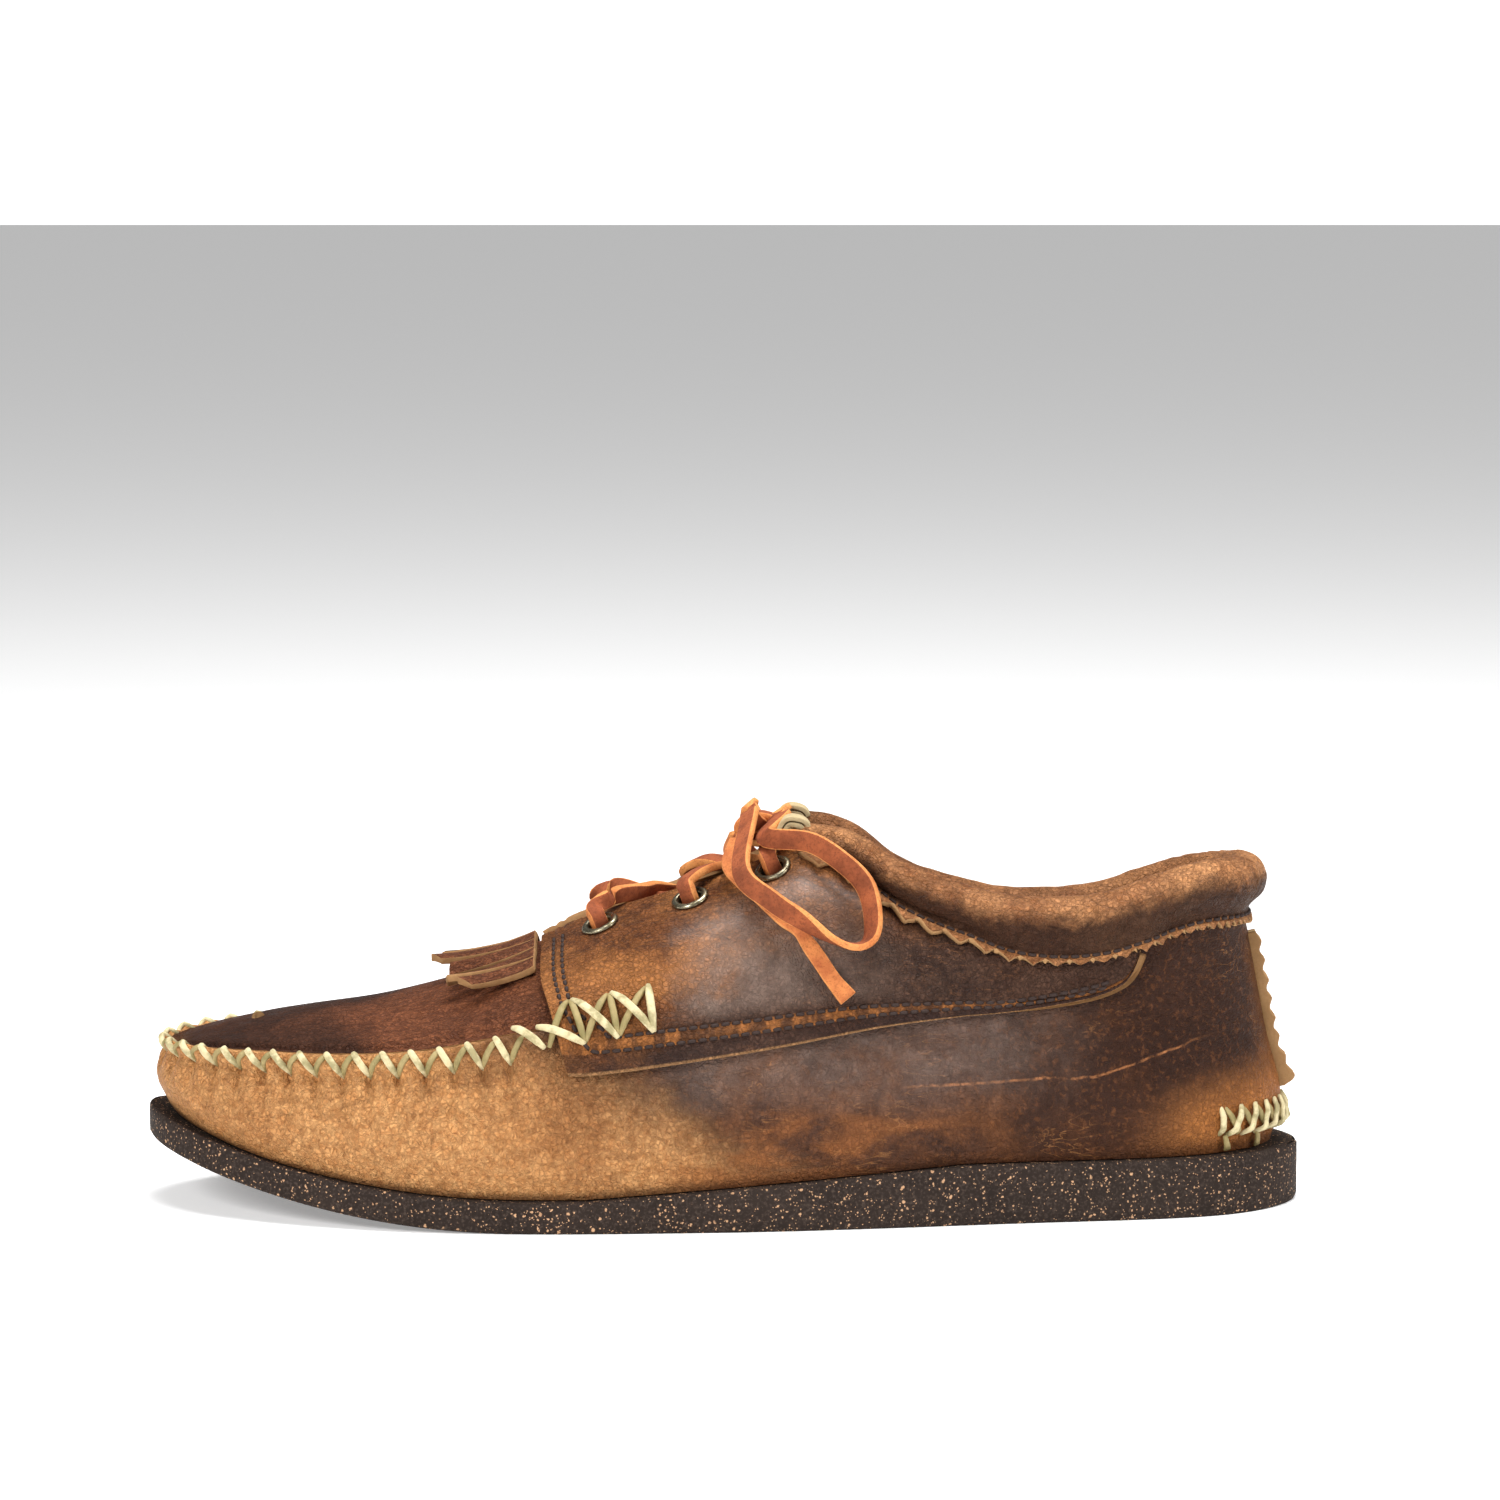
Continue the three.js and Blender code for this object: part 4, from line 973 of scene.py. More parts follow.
def quarter(side, word):
    us = [*np.linspace(0, 0.06, 28), *np.linspace(0.067, 1, 150)]
    vs = [*np.linspace(0, 0.16, 30), *np.linspace(0.175, 1, 42)]
    grid = [[quarter_point(side, u, v, QUARTER_OUT + quarter_lift(side, u, v)) for v in vs] for u in us]
    if side > 0:
        grid = grid[::-1]
    piece = leather_sheet(f"quarter_leather_{word}", [grid], 1.9, shares=vs)
    for i, s in enumerate(EYELET_STATIONS):
        bpy.ops.mesh.primitive_cylinder_add(vertices=32, radius=(BORE + 0.6) * MM, depth=8 * MM)
        punch = bpy.context.object
        punch.name = f"punch_{word}_{i}"
        punch.matrix_world = eyelet_frame(side, s)
        cut = piece.modifiers.new(f"eyelet_hole_{i}", "BOOLEAN")
        cut.operation, cut.solver, cut.object = "DIFFERENCE", "FAST", punch
        bpy.context.view_layer.objects.active = piece
        bpy.ops.object.modifier_apply(modifier=cut.name)
        bpy.data.objects.remove(punch)
    return piece


def eyelet_frame(side, s):
    angle = side_angle(side, s)
    axis = Vector(form_normal(angle, EYELET_T))
    centre = Vector(layer(angle, EYELET_T, 2 * GAP + LEATHER / 2) * MM)
    turn = axis.to_track_quat("Z", "Y").to_matrix().to_4x4()
    return Matrix.Translation(centre) @ turn


def quarter_leather():
    """Orange-brown by the lacing, mid-brown with a painted grey sheen below, dark along the seams."""
    finish = Finish("pull_up_leather_quarters", specular_ior_level=0.14, coat_roughness=0.32)
    cloud = finish.noise(24, 5, 0.62, twist=0.6)
    patch = finish.noise(75, 5, 0.65, twist=1.2) - 0.5
    fine = finish.noise(330, 6, 0.7).step(0.3, 0.7)
    deep = finish.blend(cloud.step(0.3, 0.7), colour(38, 22, 16), colour(84, 58, 46))
    deep = finish.blend(finish.x.step(20.0, 80.0) * 0.5, deep, colour(58, 32, 19))
    deep = finish.blend(fine * 0.3, deep, colour(116, 86, 68))
    warm = finish.blend(finish.noise(60, 4).step(0.35, 0.65), colour(118, 68, 32), colour(178, 114, 60))
    share = finish.attribute("across")
    across_front = finish.x - (finish.z - 56.0) * 1.1 + patch * 44.0 + cloud * 16.0 + fine * 9.0 - 12.0
    top = (finish.z + patch * 14.0 - finish.x * 0.12).step(66.0, 76.0) * 0.75
    glow = across_front.step(2.0, -26.0).at_least(top)
    ground = finish.blend(glow * 0.9, deep, warm)
    streak_place = finish.stretched(0.4, 1.0, 1.3)
    streaks = finish.lines(0.06, 0.0, 120, 5, 0.65, place=streak_place, twist=1.3)
    ground = finish.blend(streaks * 0.75 * top, ground, colour(58, 35, 26))
    hairs = finish.lines(0.024, 0.0, 230, 4, 0.6, place=streak_place, twist=1.5)
    ground = finish.blend(hairs * 0.3 * finish.noise(45).step(0.42, 0.6), ground, colour(170, 112, 70))
    seam_dark = share.step(0.14, 0.11) * finish.noise(120, 4).step(0.3, 0.5)
    ground = finish.blend(seam_dark * 0.6, ground, colour(48, 29, 24))
    # Painted highlights: the band between the two rows of stitches is made lighter orange, in streaks that
    # stand for light on its puckers.
    between = share.step(0.126, 0.12) * share.step(0.062, 0.068)
    pucker_highlights = finish.noise(330, 2, 0.5, place=finish.stretched(1.0, 0.3, 0.3)).step(0.4, 0.6)
    ground = finish.blend(between * (0.2 + 0.6 * pucker_highlights), ground, colour(178, 112, 58))
    ground = finish.blend(share.step(0.011, 0.004) * 0.75, ground, colour(174, 128, 84))
    pebbles = grain(finish, 0.5)
    ground = finish.blend((1 - pebbles) * 0.32, ground, colour(26, 15, 11))
    # Painted sheen: a patchy grey-brown highlight over the quarter's bulge, where the lamps would shine; the
    # coat follows it.
    painted_grey_sheen = (finish.x + patch * 20.0).step(-18.0, 2.0) * finish.x.step(50.0, 18.0) * share.step(0.12, 0.2)
    painted_grey_sheen = painted_grey_sheen * (share + patch * 0.2).step(0.85, 0.55)
    sheen_patchiness = 0.25 + 0.4 * finish.noise(140, 5, 0.7).step(0.35, 0.65)
    ground = finish.blend(painted_grey_sheen * sheen_patchiness, ground, colour(142, 118, 104))
    finish.feed(base_color=ground, roughness=0.4 + 0.2 * fine + 0.1 * finish.noise(26),
                coat_weight=0.02 + 0.75 * painted_grey_sheen)
    return finish


quarter_finish = quarter_leather()
for side, word in SIDES:
    leaf = quarter(side, word)
    wear(leaf, quarter_finish, flesh_side, cut_edge)
    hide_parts(f"quarter_{word}")


# ---------------------------------------------------------------- eyelets
# Rolled rings of aged brass, closed over on the flesh side.
def aged_brass():
    finish = Finish("antique_brass", metallic=1.0)
    dull = finish.noise(700, 4, 0.6).step(0.4, 0.7)
    finish.feed(base_color=finish.blend(dull, colour(156, 148, 124), colour(88, 80, 60)),
                roughness=0.26 + 0.25 * dull)
    finish.bump(finish.noise(1800), 0.05, 0.5)
    return finish


def eyelet(side, s, name):
    """A ring turned from a rolled section, its flange domed."""
    face, dome, flange = LEATHER / 2 + GAP + 0.05, 0.9, BORE + 2.0
    section = [(BORE, -face - 0.5), (BORE + 1.2, -face - 0.55), (BORE + 1.35, -face - 0.2),
               (BORE + 0.35, -face), (BORE + 0.4, face)]
    for turn in np.linspace(0, math.pi, 9):
        radius = (flange + BORE) / 2 + (flange - BORE) / 2 * math.cos(turn)
        section.append((radius, face + 0.1 + dome * math.sin(turn)))
    turns = 48
    where = eyelet_frame(side, s)
    vertices = []
    for k in range(turns):
        a = 2 * math.pi * k / turns
        for radius, height in section:
            place = Vector((radius * math.cos(a), radius * math.sin(a), height))
            vertices.append(where @ (place * MM) / MM)
    n = len(section)
    faces = [(k * n + i, (k + 1) % turns * n + i, (k + 1) % turns * n + (i + 1) % n, k * n + (i + 1) % n)
             for k in range(turns) for i in range(n)]
    return add_piece(name, vertices, faces, "shoe")


brass = aged_brass()
for side, word in SIDES:
    for i, s in enumerate(EYELET_STATIONS):
        ring = eyelet(side, s, f"eyelet_ring_{word}_{i + 1}")
        wear(ring, brass)
        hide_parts(f"eyelet_{word}_{i + 1}")


# ---------------------------------------------------------------- collar foam and cover
# A foam roll on the rim under a leather cover. The cover is turned over the roll, stitched down
# at its foot, and its raw edge below the stitches is cut with pinking shears.
COLLAR_FRONT = 0.135
COLLAR_REACH = angle_at(COLLAR_FRONT)
COLLAR_RADIUS = 6.2
COLLAR_LEATHER = 1.5
COLLAR_SKIRT = 5.2
PINK_DEPTH = 1.8
PINK_TEETH = 58
TOOTH_COLUMNS = 8
STITCH_DROP = 2.8


def roll_radius(s):
    return mix(0.58 * COLLAR_RADIUS, COLLAR_RADIUS, ease(s, COLLAR_FRONT, 0.27))


def skirt_lift(s):
    return COLLAR_LEATHER + GAP + (QUARTER_OUT + GAP) * (1 - ease(s, 0.72, 0.78))


def roll_point(angle, turn, radius):
    edge, middle = girth(angle)[:2]
    away = (edge - middle) / np.linalg.norm(edge - middle)
    centre = form(angle, 1.0) + np.array([0, 0, roll_radius(math.cos(angle))])
    out = radius * math.cos(turn)
    return centre + np.array([away[0] * out, away[1] * out, radius * math.sin(turn)])


def skirt_point(angle, drop, lift):
    return layer(angle, t_at_rise(angle, rim_rise(angle) - drop), lift + skirt_lift(math.cos(angle)))


def spline(points, steps):
    """Points of a smooth line through points, steps to each stretch."""
    points = np.array(points)
    padded = np.vstack([2 * points[0] - points[1], points, 2 * points[-1] - points[-2]])
    made = []
    for i in range(1, len(padded) - 2):
        p, a, b, q = padded[i - 1:i + 3]
        for u in np.arange(steps) / steps:
            made.append(hermite(a, b, (b - p) / 2, (q - a) / 2, u))
    return np.array([*made, points[-1]])


creases = ripple((58, 0.3, 0.5), (91, 1.7, 0.4), (133, 0.2, 0.3), (23, 2.2, 0.5))


def collar_section(angle, tooth):
    radius = roll_radius(math.cos(angle))
    edge = [skirt_point(angle, COLLAR_SKIRT - PINK_DEPTH + PINK_DEPTH * tooth * v, 0.12 * v)
            for v in (1, 0.5, 0)]
    stitched = skirt_point(angle, STITCH_DROP, -0.5)
    above = skirt_point(angle, 0.9, 0.15)
    turns = []
    for degrees in (-30, 10, 50, 90, 130, 170, 212):
        slack = 0.2 * creases(angle + 0.004 * degrees) * math.cos(math.radians(degrees) / 2)
        full = 0.25 * math.cos(math.radians(degrees - 60))
        turns.append(roll_point(angle, math.radians(degrees), radius + slack + full))
    leg = turns[-1] - np.array([0, 0, 4.2])
    return [*edge, *spline([edge[2], stitched, above, *turns, leg], 4)[1:]]


def collar_cover():
    count = PINK_TEETH * TOOTH_COLUMNS
    grid = []
    for c in range(count + 1):
        angle = mix(-COLLAR_REACH, COLLAR_REACH, c / count)
        phase = c % TOOTH_COLUMNS / TOOTH_COLUMNS
        tooth = 1 - abs(2 * phase - 1)
        grid.append(collar_section(angle, tooth * (1 + 0.12 * math.sin(c * 1.7))))
    return leather_sheet("collar_leather", [grid], 1.4, cut=0)


def collar_leather():
    """Golden tan on the roll, with painted shade: browner on its crown and nearly black in the crease where
    it meets its stitches.
    """
    finish = Finish("collar_pull_up_leather", specular_ior_level=0.16, coat_weight=0.02, coat_roughness=0.34)
    cloud = finish.noise(34, 5, 0.6, twist=0.6)
    fine = finish.noise(330, 6, 0.7).step(0.3, 0.7)
    patch = finish.noise(85, 5, 0.65, twist=1.0) - 0.5
    ground = finish.blend(cloud.step(0.35, 0.66), colour(134, 80, 42), colour(196, 136, 86))
    ground = finish.blend(fine * 0.4, ground, colour(212, 154, 106))
    share = finish.attribute("across")
    # Painted shade: a nearly black band in the crease above the stitches, under the roll.
    band = (share + patch * 0.06).step(0.14, 0.18) * (share + patch * 0.24).step(0.5, 0.36)
    ground = finish.blend(band * 0.92, ground, colour(38, 19, 12))
    skirt = share.step(0.14, 0.12) * finish.noise(50, 3).step(0.3, 0.7)
    ground = finish.blend(skirt * 0.45, ground, colour(146, 92, 50))
    # Painted shade: browner on the roll's crown, where it turns away from the lamps.
    shaded_crown = (share + patch * 0.16).step(0.56, 0.66) * share.step(0.82, 0.74)
    ground = finish.blend(shaded_crown * 0.45, ground, colour(104, 62, 34))
    inside = share.step(0.78, 0.86)
    ground = finish.blend(inside * 0.6, ground, colour(190, 136, 82))
    dents = finish.lines(0.03, 0.0, 160, 4, 0.6, place=finish.stretched(0.6, 0.6, 1.6), twist=1.2)
    ground = finish.blend(dents * 0.35 * share.step(0.15, 0.3), ground, colour(88, 52, 30))
    pebbles = grain(finish, 0.5, 660.0, 1.1)
    ground = finish.blend((1 - pebbles) * 0.28, ground, colour(66, 36, 18))
    finish.feed(base_color=ground, roughness=0.42 + 0.2 * fine + 0.12 * finish.noise(26))
    return finish


def foam_finish():
    finish = Finish("collar_foam", roughness=0.95, specular_ior_level=0.2)
    bubbles = finish.cells(1400)
    finish.feed(base_color=finish.blend(bubbles, colour(214, 206, 184), colour(176, 166, 142)))
    finish.bump(bubbles, 0.3, 0.7)
    return finish


cover = collar_cover()
wear(cover, collar_leather(), flesh_side, cut_edge)
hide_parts("collar_cover")
wear(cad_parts["collar_foam"], foam_finish())


# ---------------------------------------------------------------- rolled collar ends
# At each front end of the collar the pale undyed edge of its leather is rolled up on itself.
def rolled_end(side, word):
    angle = side_angle(side, COLLAR_FRONT)
    root = roll_point(angle, 0, 0)
    out = roll_point(angle, 0, 1.0) - root
    toeward = np.array([-1.0, 0, 0]) + out * out[0]
    toeward /= np.linalg.norm(toeward)
    up = np.array([0, 0, 1.0])
    centre = root + toeward * 2.2 + up * 0.9
    grid = []
    turns = 1.9
    for k in range(81):
        a = 2 * math.pi * turns * k / 80
        radius = mix(0.9, 3.9, k / 80) + 0.1 * math.sin(5 * a)
        foot = centre + toeward * radius * math.cos(a + 3.4) + up * radius * math.sin(a + 3.4)
        reach = 3.1 + 0.3 * math.sin(3 * a)
        grid.append([foot + out * r for r in (-reach, -1.1, 1.1, reach)])
    if side > 0:
        grid = grid[::-1]
    return leather_sheet(f"rolled_end_{word}", [grid], 1.2)


def undyed_leather():
    finish = Finish("undyed_leather", roughness=0.85, specular_ior_level=0.25)
    nap = finish.noise(1300, 5, 0.7)
    ground = finish.blend(nap * finish.noise(120), colour(168, 146, 104), colour(226, 210, 172))
    finish.feed(base_color=ground)
    finish.bump(nap, 0.3, 0.8)
    return finish


undyed = undyed_leather()
for side, word in SIDES:
    wear(rolled_end(side, word), undyed, undyed, undyed)


# ---------------------------------------------------------------- back seam strip
# The two edges of the body meet down the middle of the heel and stand out back to back, sewn
# close to the body and trimmed in scallops.
SCALLOPS = 8
STRIP_THICKNESS = 2.6
STRIP_PROUD = 3.0


def back_seam():
    low, high = 14.0, rim_rise(0.0) - COLLAR_SKIRT - 3.2
    grids = []
    for side in (-1, 1):
        grid = []
        for u in np.linspace(0, 1, SCALLOPS * 12 + 1):
            t = t_at_rise(0.0, mix(low, high, u))
            notch = abs(math.cos(SCALLOPS * math.pi * u)) ** 1.4
            proud = STRIP_PROUD + 1.4 * (1 - ease(u, 0, 0.25)) - 1.0 * notch
            proud *= ease(u, -0.03, 0.05)
            wave = 0.22 * math.sin(23 * u) + 0.12 * math.sin(57 * u + 1)
            column = []
            for v in np.linspace(0, 1, 6):
                point = layer(0.0, t, mix(-0.4, proud, v))
                point[1] = form(0.0, t)[1] + wave * v + side * (STRIP_THICKNESS / 2 + 0.25 * v)
                column.append(point)
            grid.append(column)
        grids.append(grid if side > 0 else grid[::-1])
    return leather_sheet("back_seam_leaves", grids, 1.2)


def raw_edge_leather():
    finish = Finish("raw_edge_leather", roughness=0.75, specular_ior_level=0.3)
    worn = finish.noise(160, 5, 0.65, twist=1.0)
    ground = finish.blend(worn.step(0.35, 0.66), colour(150, 106, 62), colour(214, 180, 130))
    finish.feed(base_color=finish.blend(finish.noise(60).step(0.55, 0.7) * 0.6, ground, colour(112, 70, 40)))
    finish.bump(finish.noise(1100, 5, 0.7), 0.3, 0.8)
    return finish


raw_edge = raw_edge_leather()
strip = back_seam()
wear(strip, raw_edge, flesh_side, cut_edge)
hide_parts("back_seam_strip")


# ---------------------------------------------------------------- hand sewing
# Waxed linen cord, nearly flat, sewn over the ridge round the toe, through the corner of each
# quarter and round the heel. Bright strokes lie over darker ones, which are painted darker as shade, and
# pull small dimples.
CORD_WIDTH = 1.8
CORD_THICKNESS = 1.35


def strap(name, paths, width, thickness, sides=10, square=0.8, edge=0.0):
    """Flat strips, each along a path of (point, direction of its width, share of its width).
    Faces of the narrow edges have the second finish."""
    vertices, faces, kinds = [], [], []
    for path in paths:
        points = np.array([p for p, _, _ in path])
        ahead = np.gradient(points, axis=0)
        ahead /= np.maximum(np.linalg.norm(ahead, axis=1, keepdims=True), 1e-9)
        first = len(vertices)
        for (point, flat, share), t in zip(path, ahead):
            flat = flat - t * (flat @ t)
            flat /= max(np.linalg.norm(flat), 1e-9)
            up = np.cross(flat, t)
            for k in range(sides):
                c, n = math.cos(2 * math.pi * k / sides), math.sin(2 * math.pi * k / sides)
                x = math.copysign(abs(c) ** square, c) * width / 2 * share
                y = math.copysign(abs(n) ** square, n) * thickness / 2
                vertices.append(point + flat * x + up * y)
        for r in range(len(path) - 1):
            for k in range(sides):
                a, b = first + r * sides + k, first + r * sides + (k + 1) % sides
                faces.append((a, a + sides, b + sides, b))
                middle = math.cos(2 * math.pi * (k + 0.5) / sides)
                kinds.append(1 if edge and abs(middle) > edge else 0)
        last = first + (len(path) - 1) * sides
        faces += [tuple(first + k for k in range(sides)), tuple(last + k for k in reversed(range(sides)))]
        kinds += [1 if edge else 0] * 2
    piece = add_piece(name, vertices, faces, "shoe")
    piece.data.polygons.foreach_set("material_index", kinds)
    return piece


def flat_on(points, ups, shares=None):
    """A path for a strip that lies flat, given the way up at each point."""
    points = np.array(points)
    ahead = np.gradient(points, axis=0)
    return [(p, np.cross(t, up), 1.0 if shares is None else shares[i])
            for i, (p, t, up) in enumerate(zip(points, ahead, ups))]


def stroke(ends, lift_at, samples=9, bow=0.0):
    """One stitch between two (angle, t) places; it dives into the leather at both ends."""
    (a, ta), (b, tb) = ends
    points, ups = [], []
    for u in np.linspace(0, 1, samples):
        angle, t = mix(a, b, u), mix(ta, tb, u)
        rise = min(1.0, 3.4 * min(u, 1 - u) + 0.05)
        points.append(layer(angle, t, lift_at(angle, t) - 1.5 * (1 - rise) + bow * math.sin(math.pi * u)))
        ups.append(form_normal(angle, t))
    shares = [0.62 + 0.38 * min(1.0, 4 * min(u, 1 - u)) for u in np.linspace(0, 1, samples)]
    return flat_on(points, ups, shares)


def waxed_cord(name, light, dark):
    finish = Finish(name, specular_ior_level=0.4)
    fibres = finish.noise(900, 4, 0.6, place=finish.stretched(0.5, 1, 1))
    grime = finish.noise(230, 4, 0.6).step(0.42, 0.62)
    finish.feed(base_color=finish.blend(grime * 0.7, finish.blend(fibres, light, dark), colour(122, 112, 66)),
                roughness=0.55 + 0.2 * fibres)
    finish.bump(fibres, 0.14, 0.7)
    return finish


# The bright cord has the cord's own colour; the dim one is a darker copy of it, painted shade for the strokes
# that lie under.
bright_cord = waxed_cord("waxed_cord_bright", colour(224, 211, 170), colour(190, 174, 128))
shaded_cord = waxed_cord("waxed_cord_shaded", colour(172, 154, 104), colour(134, 116, 74))
UPPER_T, LOWER_T = 0.497, 0.431


def on_body(extra):
    return lambda angle, t: body_lift(angle, t) + extra


def hole(phase):
    return float(np.interp(phase, np.arange(2 * STITCHES + 1) / 2, hole_angles))


def apron_sewing():
    bright, dim = [], []
    for k in range(1, STITCHES + 1):
        bright.append(stroke(((hole(k + 0.04), UPPER_T), (hole(k - 0.5), LOWER_T)), on_body(0.7)))
        dim.append(stroke(((hole(k - 0.5), LOWER_T), (hole(k - 1.1), 0.486)), on_body(0.35)))
    return bright, dim


bright, dim = apron_sewing()
over = strap("apron_sewing_over", bright, CORD_WIDTH, CORD_THICKNESS)
wear(over, bright_cord)
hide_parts("apron_thread")
under = strap("apron_sewing_under", dim, 0.9 * CORD_WIDTH, CORD_THICKNESS)
wear(under, shaded_cord)

SIDE_UPPER = ((-0.259, 48.6), (-0.192, 50.0), (-0.126, 51.3))
SIDE_LOWER = ((-0.292, 38.8), (-0.232, 39.6), (-0.176, 40.4), (-0.116, 41.2))
SIDE_UNDER = ((0, 0), (0, 1), (1, 1), (1, 2), (2, 2))
SIDE_OVER = ((0, 2), (1, 3), (2, 3))
SIDE_LEADS = (((-0.312, 43.0), SIDE_LOWER[1], 1.2, 0.7), ((-0.352, 42.5), (-0.3, 38.6), 1.0, 0.6))
SIDE_CORD_WIDTH = 2.1


def place_at(side, s, rise):
    """The (angle, t) place on one side at a station s and a height over the sole."""
    angle = side_angle(side, s)
    return angle, t_at_rise(angle, rise)


def side_sewing(side, pairs, extra):
    """Strokes between pairs of holes; the bright ones include those that lead in from the toe."""
    strokes = []
    for up, low in pairs:
        s, rise = SIDE_UPPER[up]
        ends = (place_at(side, s + 0.004 * (low - up - 0.5), rise), place_at(side, *SIDE_LOWER[low]))
        strokes.append(stroke(ends, lambda angle, t: QUARTER_OUT + extra, 12, 0.5))
    if pairs == SIDE_OVER:
        for start, end, lift, bow in SIDE_LEADS:
            ends = (place_at(side, *start), place_at(side, *end))
            strokes.append(stroke(ends, lambda angle, t: QUARTER_OUT + lift, 14, bow))
    return strokes


for side, word in SIDES:
    crossed = side_sewing(side, SIDE_UNDER, 0.7)
    low = strap(f"side_sewing_under_{word}", crossed, CORD_WIDTH, CORD_THICKNESS)
    wear(low, shaded_cord)
    crossing_over = side_sewing(side, SIDE_OVER, 1.5)
    high = strap(f"side_sewing_over_{word}", crossing_over, SIDE_CORD_WIDTH, CORD_THICKNESS)
    wear(high, bright_cord)
    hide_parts(f"side_thread_{word}")

HEEL_REACH = 0.5
HEEL_HOLES = 13
HEEL_LOW, HEEL_HIGH = 4.8, 12.4


def heel_sewing():
    def place(k, up):
        angle = mix(-HEEL_REACH, HEEL_REACH, k / HEEL_HOLES)
        return angle, t_at_rise(angle, HEEL_HIGH if up else HEEL_LOW)
    over, under = [], []
    for k in range(HEEL_HOLES):
        over.append(stroke((place(k, 1), place(k + 0.85, 0)), on_body(1.5), 11, 0.3))
        under.append(stroke((place(k + 0.1, 0), place(k + 0.95, 1)), on_body(0.7), 11, 0.2))
    for k in (-0.15, HEEL_HOLES + 0.15):
        over.append(stroke((place(k, 1), place(k, 0)), on_body(0.8), 11, 0.3))
    for k in (HEEL_HOLES, HEEL_HOLES - 2.2):
        angle = place(k, 0)[0]
        tail = [layer(angle + turn, t_at_rise(angle, rise), lift) for turn, rise, lift in (
            (0, 5.2, 1.2), (-0.004, 3.9, 1.6), (-0.012, 2.6, 1.5), (-0.016, 1.4, 1.3))]
        under.append(flat_on(tail, [form_normal(angle, 0.1)] * 4, (0.7, 0.9, 1.1, 1.4)))
    return over, under


over_heel, under_heel = heel_sewing()
heel_over = strap("heel_sewing_over", over_heel, 1.7, 1.2)
wear(heel_over, bright_cord)
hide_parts("heel_thread")
heel_under = strap("heel_sewing_under", under_heel, 1.6, 1.1)
wear(heel_under, shaded_cord)


# ---------------------------------------------------------------- machine sewing
# Dark thread in short even stitches: two rows round each quarter, one at the collar's foot, and
# one down the back seam.
STITCH_LENGTH = 2.1
STITCH_STEP = 2.75


def dashes(route, ways):
    """Stitches along a line of points, each a short strip that dives in at its ends. The ways
    are the way out of the leather at each point."""
    route, ways = np.array(route), np.array(ways)
    run = np.concatenate([[0], np.cumsum(np.linalg.norm(np.diff(route, axis=0), axis=1))])

    def along(line, d):
        return np.array([np.interp(d, run, line[:, c]) for c in range(3)])
    made = []
    for k in range(int(run[-1] / STITCH_STEP)):
        points, ups = [], []
        for share, deep in ((0, 0.5), (0.22, 0.0), (0.5, -0.08), (0.78, 0.0), (1, 0.5)):
            d = k * STITCH_STEP + share * STITCH_LENGTH
            up = along(ways, d)
            points.append(along(route, d) - up * deep)
            ups.append(up)
        made.append(flat_on(points, ups))
    return made


def thread_finish():
    finish = Finish("machine_thread", specular_ior_level=0.4)
    fibres = finish.noise(2600)
    finish.feed(base_color=finish.blend(fibres, colour(24, 14, 10), colour(58, 36, 27)),
                roughness=0.6 + 0.2 * fibres)
    finish.bump(fibres, 0.08, 0.6)
    return finish


thread = thread_finish()


def quarter_rows(side):
    rows = []
    for inset in STITCH_INSETS:
        du, dv = inset / QUARTER_LENGTH, inset / QUARTER_HEIGHT
        ends = [(du, v) for v in (0.9, 0.72, 0.56, 0.4)] + [(du * 1.1, 0.24), (du * 2.2, dv * 1.25)]
        ends += [(mix(0.09, 0.955, i / 16), dv * (1 + 0.9 * ease(i, 12, 16))) for i in range(17)]
        line = spline([(u, v, 0) for u, v in ends], 8)
        route = [quarter_point(side, u, v, QUARTER_OUT + quarter_lift(side, u, v) + 0.22)
                 for u, v, _ in line]
        ways = [quarter_point(side, u, v, 1.0) - quarter_point(side, u, v, 0.0) for u, v, _ in line]
        rows += dashes(route, ways)
    return rows


for side, word in SIDES:
    rows = strap(f"quarter_sewing_{word}", quarter_rows(side), 1.0, 0.6, 6)
    wear(rows, thread)
    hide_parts(f"quarter_stitch_{word}")

foot_angles = np.linspace(-0.985 * COLLAR_REACH, 0.985 * COLLAR_REACH, 260)
foot_route = [skirt_point(a, STITCH_DROP, -0.28) for a in foot_angles]
foot_ways = [skirt_point(a, STITCH_DROP, 1.0) - skirt_point(a, STITCH_DROP, 0.0) for a in foot_angles]
foot_row = strap("collar_sewing", dashes(foot_route, foot_ways), 1.0, 0.6, 6)
wear(foot_row, thread)
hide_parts("collar_stitch")


def back_rows():
    rows = []
    for side in (-1, 1):
        route = []
        for rise in np.linspace(19, rim_rise(0.0) - COLLAR_SKIRT - 5, 40):
            point = layer(0.0, t_at_rise(0.0, rise), 1.3)
            point[1] += side * (STRIP_THICKNESS / 2 + 0.25)
            route.append(point)
        rows += dashes(route, [np.array([0, side, 0])] * 40)
    return rows


back_row = strap("back_seam_sewing", back_rows(), 0.7, 0.5, 6)
wear(back_row, thread)


# ---------------------------------------------------------------- lace
# One strip of oiled rawhide, napped brown on its faces and orange on its skived edges. It goes
# up through the eyelets, criss-crosses over the tongue and is tied in a bow.
LACE_WIDTH, LACE_DEPTH = 5.4, 1.9
RUN_WIDTH, RUN_DEPTH = 4.4, 2.3
BOX_EDGE = 0.32
UNDER_FACING = -LACE_THICKNESS / 2 - 1.15
KNOT_STATION = 0.07


